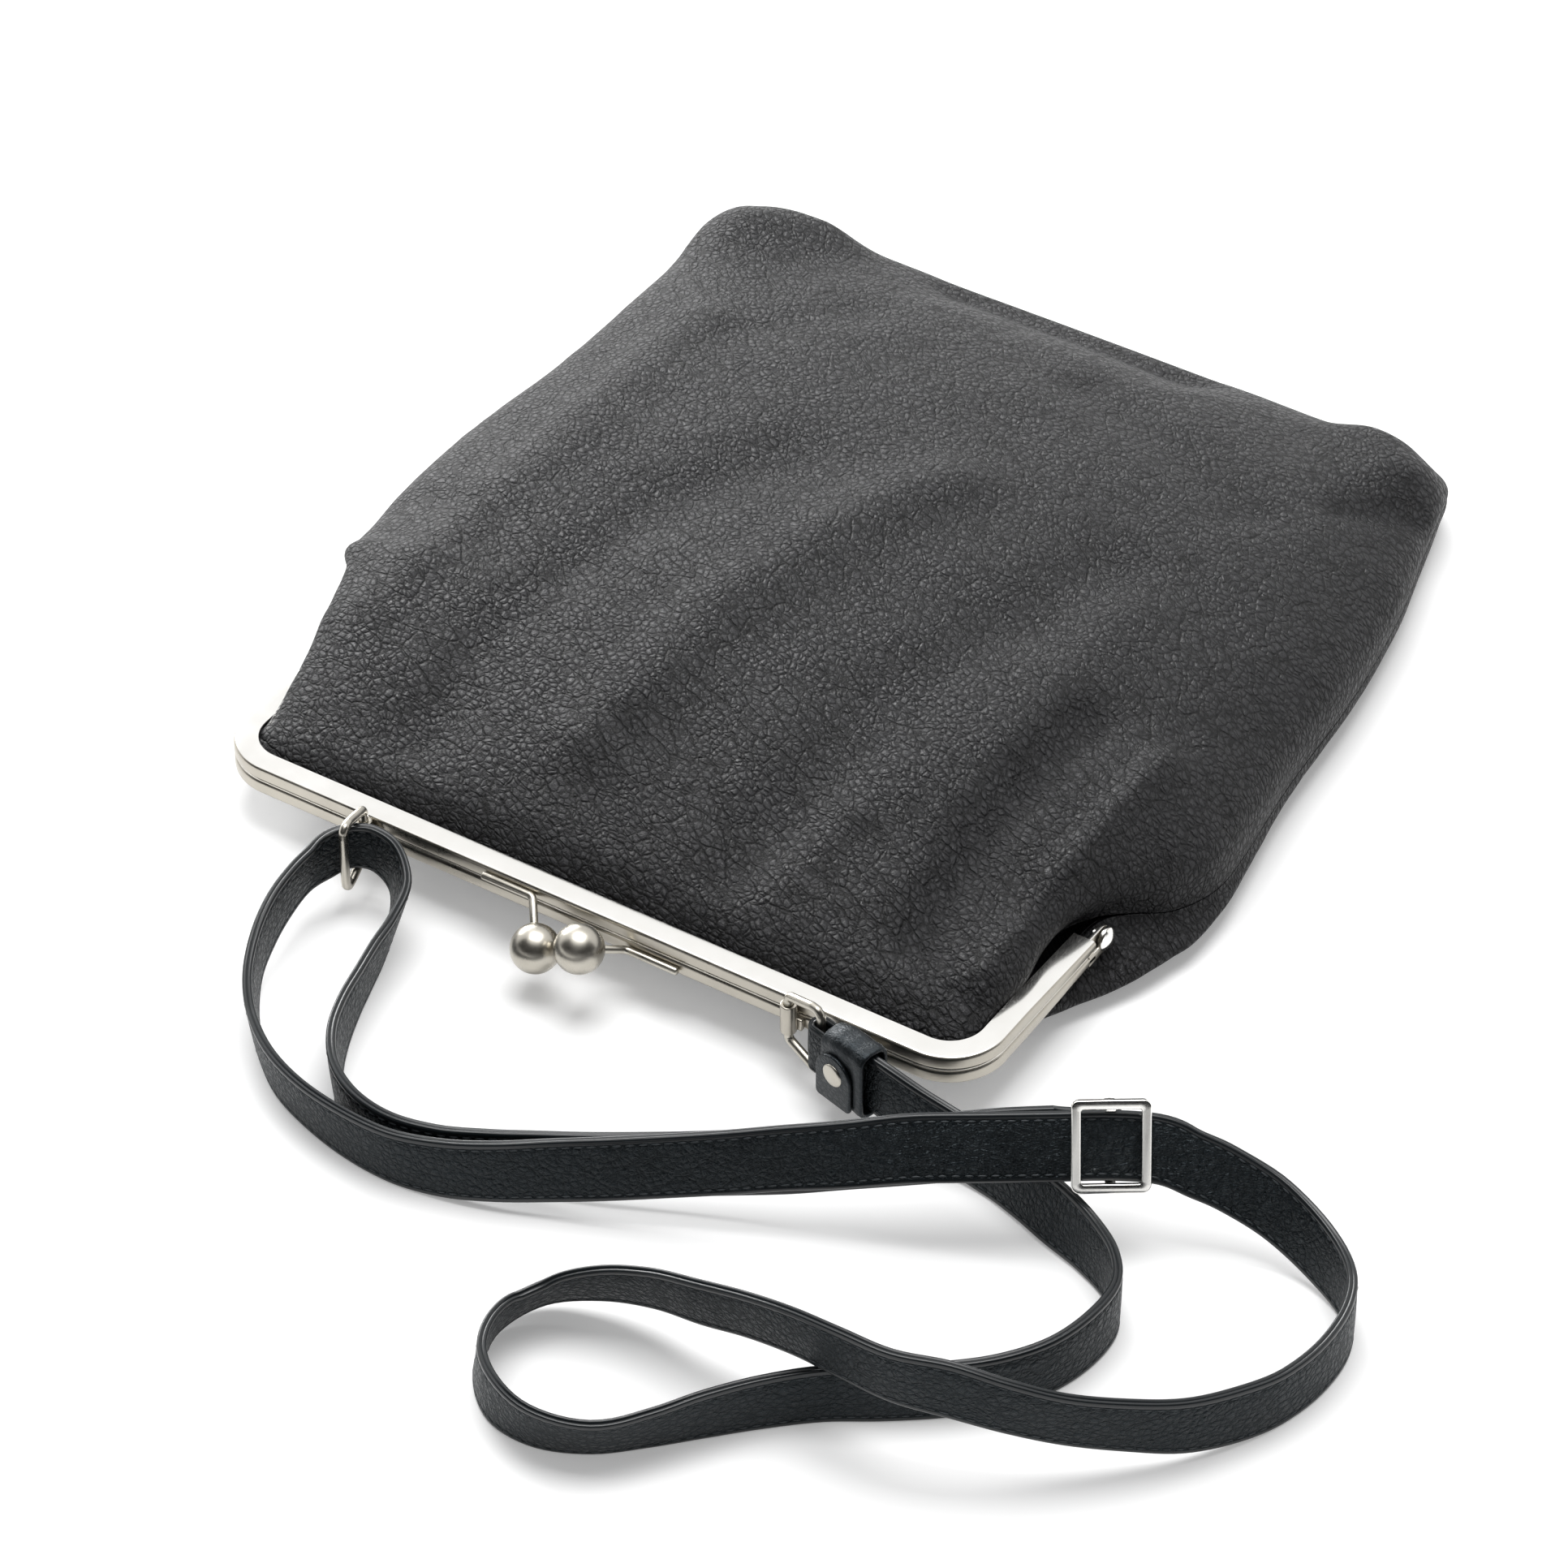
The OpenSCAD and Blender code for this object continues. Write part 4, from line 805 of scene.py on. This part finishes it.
# folds of the front: line (x, y from the bar), how wide, how far out of the leather (inwards where negative)
folds = [
    ([(-28, 45), (-22, 100), (-15, 150), (0, 190)], 23, 3),
    ([(-72, 20), (-70, 80), (-62, 140), (-45, 175)], 24, -2.6),
    ([(-112, 60), (-108, 140), (-112, 230)], 18, 1.6),
    ([(-134, 292), (-116, 304)], 30, 7.6),
    ([(94, 290), (80, 303)], 24, 6.5),
    ([(-62, 303), (16, 303)], 24, -4),
    ([(35, 20), (40, 90), (52, 150), (60, 185)], 24, -2),
    ([(46, 25), (52, 55)], 12, 1.2),
    ([(75, 100), (72, 165)], 20, 1.4),
    ([(90, 30), (86, 70), (88, 120)], 15, -2.8),
    ([(110, 30), (111, 75), (112, 120)], 11, 3.4),
    ([(6, 262), (39, 250), (74, 234)], 18, -1.6),
    ([(93, 257), (107, 272)], 12, -2),
    ([(-95, 226), (-74, 257)], 16, -1)]


def foldAtPoint(x, y):
    out = 0
    for line, width, height in folds:
        near = 1e9
        for (ax, ay), (bx, by) in zip(line, line[1:]):
            dx, dy = bx - ax, by - ay
            t = min(max(((x - ax) * dx + (y - ay) * dy) / (dx * dx + dy * dy), 0), 1)
            near = min(near, math.hypot(x - ax - dx * t, y - ay - dy * t))
        if near < width * 1.6:
            out += height * math.exp(-(near / (0.55 * width)) ** 2)
    return out


def bagPoint(row, angle, front):
    c, s = math.cos(angle), max(math.sin(angle), 0)
    rise = s ** 0.7 if front else min(1, 1.05 * s ** 0.6)
    swell = row[6] if c > 0 else row[5]
    x = (row[1] + row[2]) / 2 + (row[2] - row[1]) / 2 * math.copysign(abs(c) ** 0.85, c)
    return place(x + swell * math.sin(2 * angle), row[0], row[3] + (row[4] - row[3]) * rise)


def bagSkin(name, rows, front, columns, pitch, inset, thick, material, strip=None):
    rows = smoothRows(rows, lambda row, after: max(2, math.ceil((after[0] - row[0]) / pitch)))
    # columns stand closer together towards both side seams
    angles = [math.pi * (0.5 * k / columns + 0.25 * (1 - math.cos(math.pi * k / columns)))
              for k in range(columns + 1)]
    grid = [[bagPoint(row, a, front) for a in angles] for row in rows]
    last = len(grid) - 1
    moved = []
    for i, line in enumerate(grid):
        new = []
        for k, p in enumerate(line):
            across = line[min(k + 1, columns)] - line[max(k - 1, 0)]
            along = grid[min(i + 1, last)][k] - grid[max(i - 1, 0)][k]
            out = along.cross(across).normalized() * (1 if front else -1)
            x, y = p.x / mm, p.y / mm + originBack
            # the folds fade out towards the frame, the far end and the side seams
            rim = smoothStep(y, 8, 26) * smoothStep(bag["farEnd"] - y, 0, 14)
            rim *= smoothStep(abs(p.z / mm - rows[i][3]), 0.3, 7)
            lift = bag["wrinkle"] * noise.noise(p * 40) + bag["ripple"] * noise.noise(p * 125)
            if front:
                lift += foldAtPoint(x, y)
            elif p.z < 3 * mm:
                lift = 0
            new.append(p + out * (lift * rim - inset) * mm)
        moved.append(new)
    points, faces = ringsToMesh(moved, closedRing=False)
    if front:
        faces = [tuple(reversed(face)) for face in faces]
    piece = meshPiece(name, points, faces, material, 60)
    solid = piece.modifiers.new("thickness", "SOLIDIFY")
    solid.thickness = thick * mm
    solid.offset = -1
    seen = piece.evaluated_get(bpy.context.evaluated_depsgraph_get())
    mesh = bpy.data.meshes.new_from_object(seen)
    piece.modifiers.clear()
    piece.data = mesh
    mesh.name = name
    if strip:
        work = bmesh.new()
        work.from_mesh(mesh)
        extra = bpy.data.meshes.new(name + "Strip")
        extra.from_pydata([tuple(p) for p in strip[0]], [], strip[1])
        work.from_mesh(extra)
        work.to_mesh(mesh)
        work.free()
    mesh.shade_smooth()
    mesh.set_sharp_from_angle(angle=math.radians(60))
    return piece


# turned-in edge of the leather that lies in the frame's channel
stripSection = roundedRect(3.2, 0.65, 0.4, 3)
strips = {way: alongFrame([(5 + x, 2.75 + z) for x, z in stripSection], frameLook["paperEnd"], way)
          for way in (1, -1)}
frontLeather = bagSkin("frontLeather", mouthRows[:-1] + frontRows, True, bag["columns"], bag["rowPitch"], 0,
                       bag["leather"], materials["milledCowhide"], strips[1])
# the lining starts below the frame and ends before the far seam
frontLining = bagSkin("frontLining", mouthRows[3:-1] + frontRows[:11], True, bag["liningColumns"],
                      bag["liningRowPitch"], bag["liningIn"], bag["lining"], materials["twillLining"])
for piece, slotName, nodes in ((frontLeather, "bag_leather", ("front_mouth", "front_panel")),
                               (frontLining, "lining", ("front_lining",))):
    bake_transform(piece)
    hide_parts(*nodes)
backLeather = bagSkin("backLeather", backRows, False, bag["backColumns"], bag["backRowPitch"], 0, bag["leather"],
                      materials["milledCowhide"], strips[-1])
finishPiece(backLeather, "bag", "back_panel")
backLining = bagSkin("backLining", backRows[4:18], False, bag["liningColumns"], bag["liningRowPitch"],
                     bag["liningIn"], bag["lining"], materials["twillLining"])
finishPiece(backLining, "bag", "back_lining")
print("bag made")

# studio: white floor and walls for the eye and in reflections, a plain level of light otherwise
studio = {"floor": 0.86, "halfFloor": 4, "lift": 0.24, "world": 0.36, "near": 0.45, "far": 1.0,
          "keyLight": ((-0.05, 0.15, 2.1), (1.5, 1.2), 40), "sideLight": ((-1.52, 0.85, 0.6), (1.2, 0.5), 29)}
world = bpy.data.worlds.new("studio")
world.use_nodes = True
bpy.context.scene.world = world


def seenLevel(tree):
    rays = addNode(tree, "ShaderNodeLightPath").outputs
    eye = addNode(tree, "ShaderNodeMath", {0: rays["Is Camera Ray"], 1: rays["Is Glossy Ray"]},
                  operation="MAXIMUM")
    return addNode(tree, "ShaderNodeMath", {0: eye.outputs[0], 1: rays["Is Transmission Ray"]},
                   operation="MAXIMUM").outputs[0]


world.node_tree.nodes.clear()
level = addNode(world.node_tree, "ShaderNodeMapRange", {"Value": seenLevel(world.node_tree),
                                                        "To Min": studio["world"], "To Max": 1.0})
sky = addNode(world.node_tree, "ShaderNodeBackground", {"Color": (1, 1, 1, 1),
                                                        "Strength": level.outputs["Result"]})
addNode(world.node_tree, "ShaderNodeOutputWorld", {"Surface": sky.outputs[0]})

paper = bpy.data.materials.new("whitePaper")
paper.use_nodes = True
tree = paper.node_tree
tree.nodes.clear()
matt = addNode(tree, "ShaderNodeBsdfDiffuse", {"Color": (studio["floor"],) * 3 + (1,)})
# the paper's own lift grows with the distance from the object, where the lamps no longer reach
centre = addNode(tree, "ShaderNodeTexCoord").outputs["Object"]
reach = addNode(tree, "ShaderNodeVectorMath", {0: centre}, operation="LENGTH").outputs["Value"]
lift = addNode(tree, "ShaderNodeMapRange", {"Value": reach, "From Min": studio["near"],
                                            "From Max": studio["far"], "To Min": studio["lift"], "To Max": 1.0},
               interpolation_type="SMOOTHSTEP")
shown = addNode(tree, "ShaderNodeMath", {0: lift.outputs["Result"], 1: seenLevel(tree)}, operation="MULTIPLY")
glow = addNode(tree, "ShaderNodeEmission", {"Color": (1, 1, 1, 1), "Strength": shown.outputs[0]})
both = addNode(tree, "ShaderNodeAddShader", {0: matt.outputs[0], 1: glow.outputs[0]})
addNode(tree, "ShaderNodeOutputMaterial", {"Surface": both.outputs[0]})
half = studio["halfFloor"]
floor = meshPiece("paperFloor", [(-half, -half, 0), (half, -half, 0), (half, half, 0), (-half, half, 0)],
                  [(0, 1, 2, 3)], paper)

# black cloth hung in an arc behind the camera, seen only in reflections: the dark band in the balls
cloth = {"radius": 2.2, "low": 0.32, "high": 3.3, "from": -155, "to": 25, "steps": 24}
black = bpy.data.materials.new("blackCloth")
black.use_nodes = True
black.node_tree.nodes["Principled BSDF"].inputs["Base Color"].default_value = linear("0C0C0D")
black.node_tree.nodes["Principled BSDF"].inputs["Roughness"].default_value = 1
hung = [arc((0, 0), cloth["radius"], cloth["from"], cloth["to"], cloth["steps"])] * 2
flag = meshPiece("blackCloth", *ringsToMesh([[Vector((x, y, z)) for x, y in line] for line, z in
                                             zip(hung, (cloth["low"], cloth["high"]))], closedRing=False), black)
flag.visible_camera = False
flag.visible_diffuse = False
flag.visible_shadow = False

# softboxes: place and size in m, power in W
for name in ("keyLight", "sideLight"):
    where, size, power = studio[name]
    lamp = bpy.data.lights.new(name, "AREA")
    lamp.shape = "RECTANGLE"
    lamp.size, lamp.size_y = size
    lamp.energy = power
    lampObject = bpy.data.objects.new(name, lamp)
    lampObject.location = where
    lampObject.rotation_euler = (-Vector(where)).to_track_quat("-Z", "Y").to_euler()
    bpy.context.scene.collection.objects.link(lampObject)
bpy.context.scene.view_settings.view_transform = "Standard"
print("studio made")
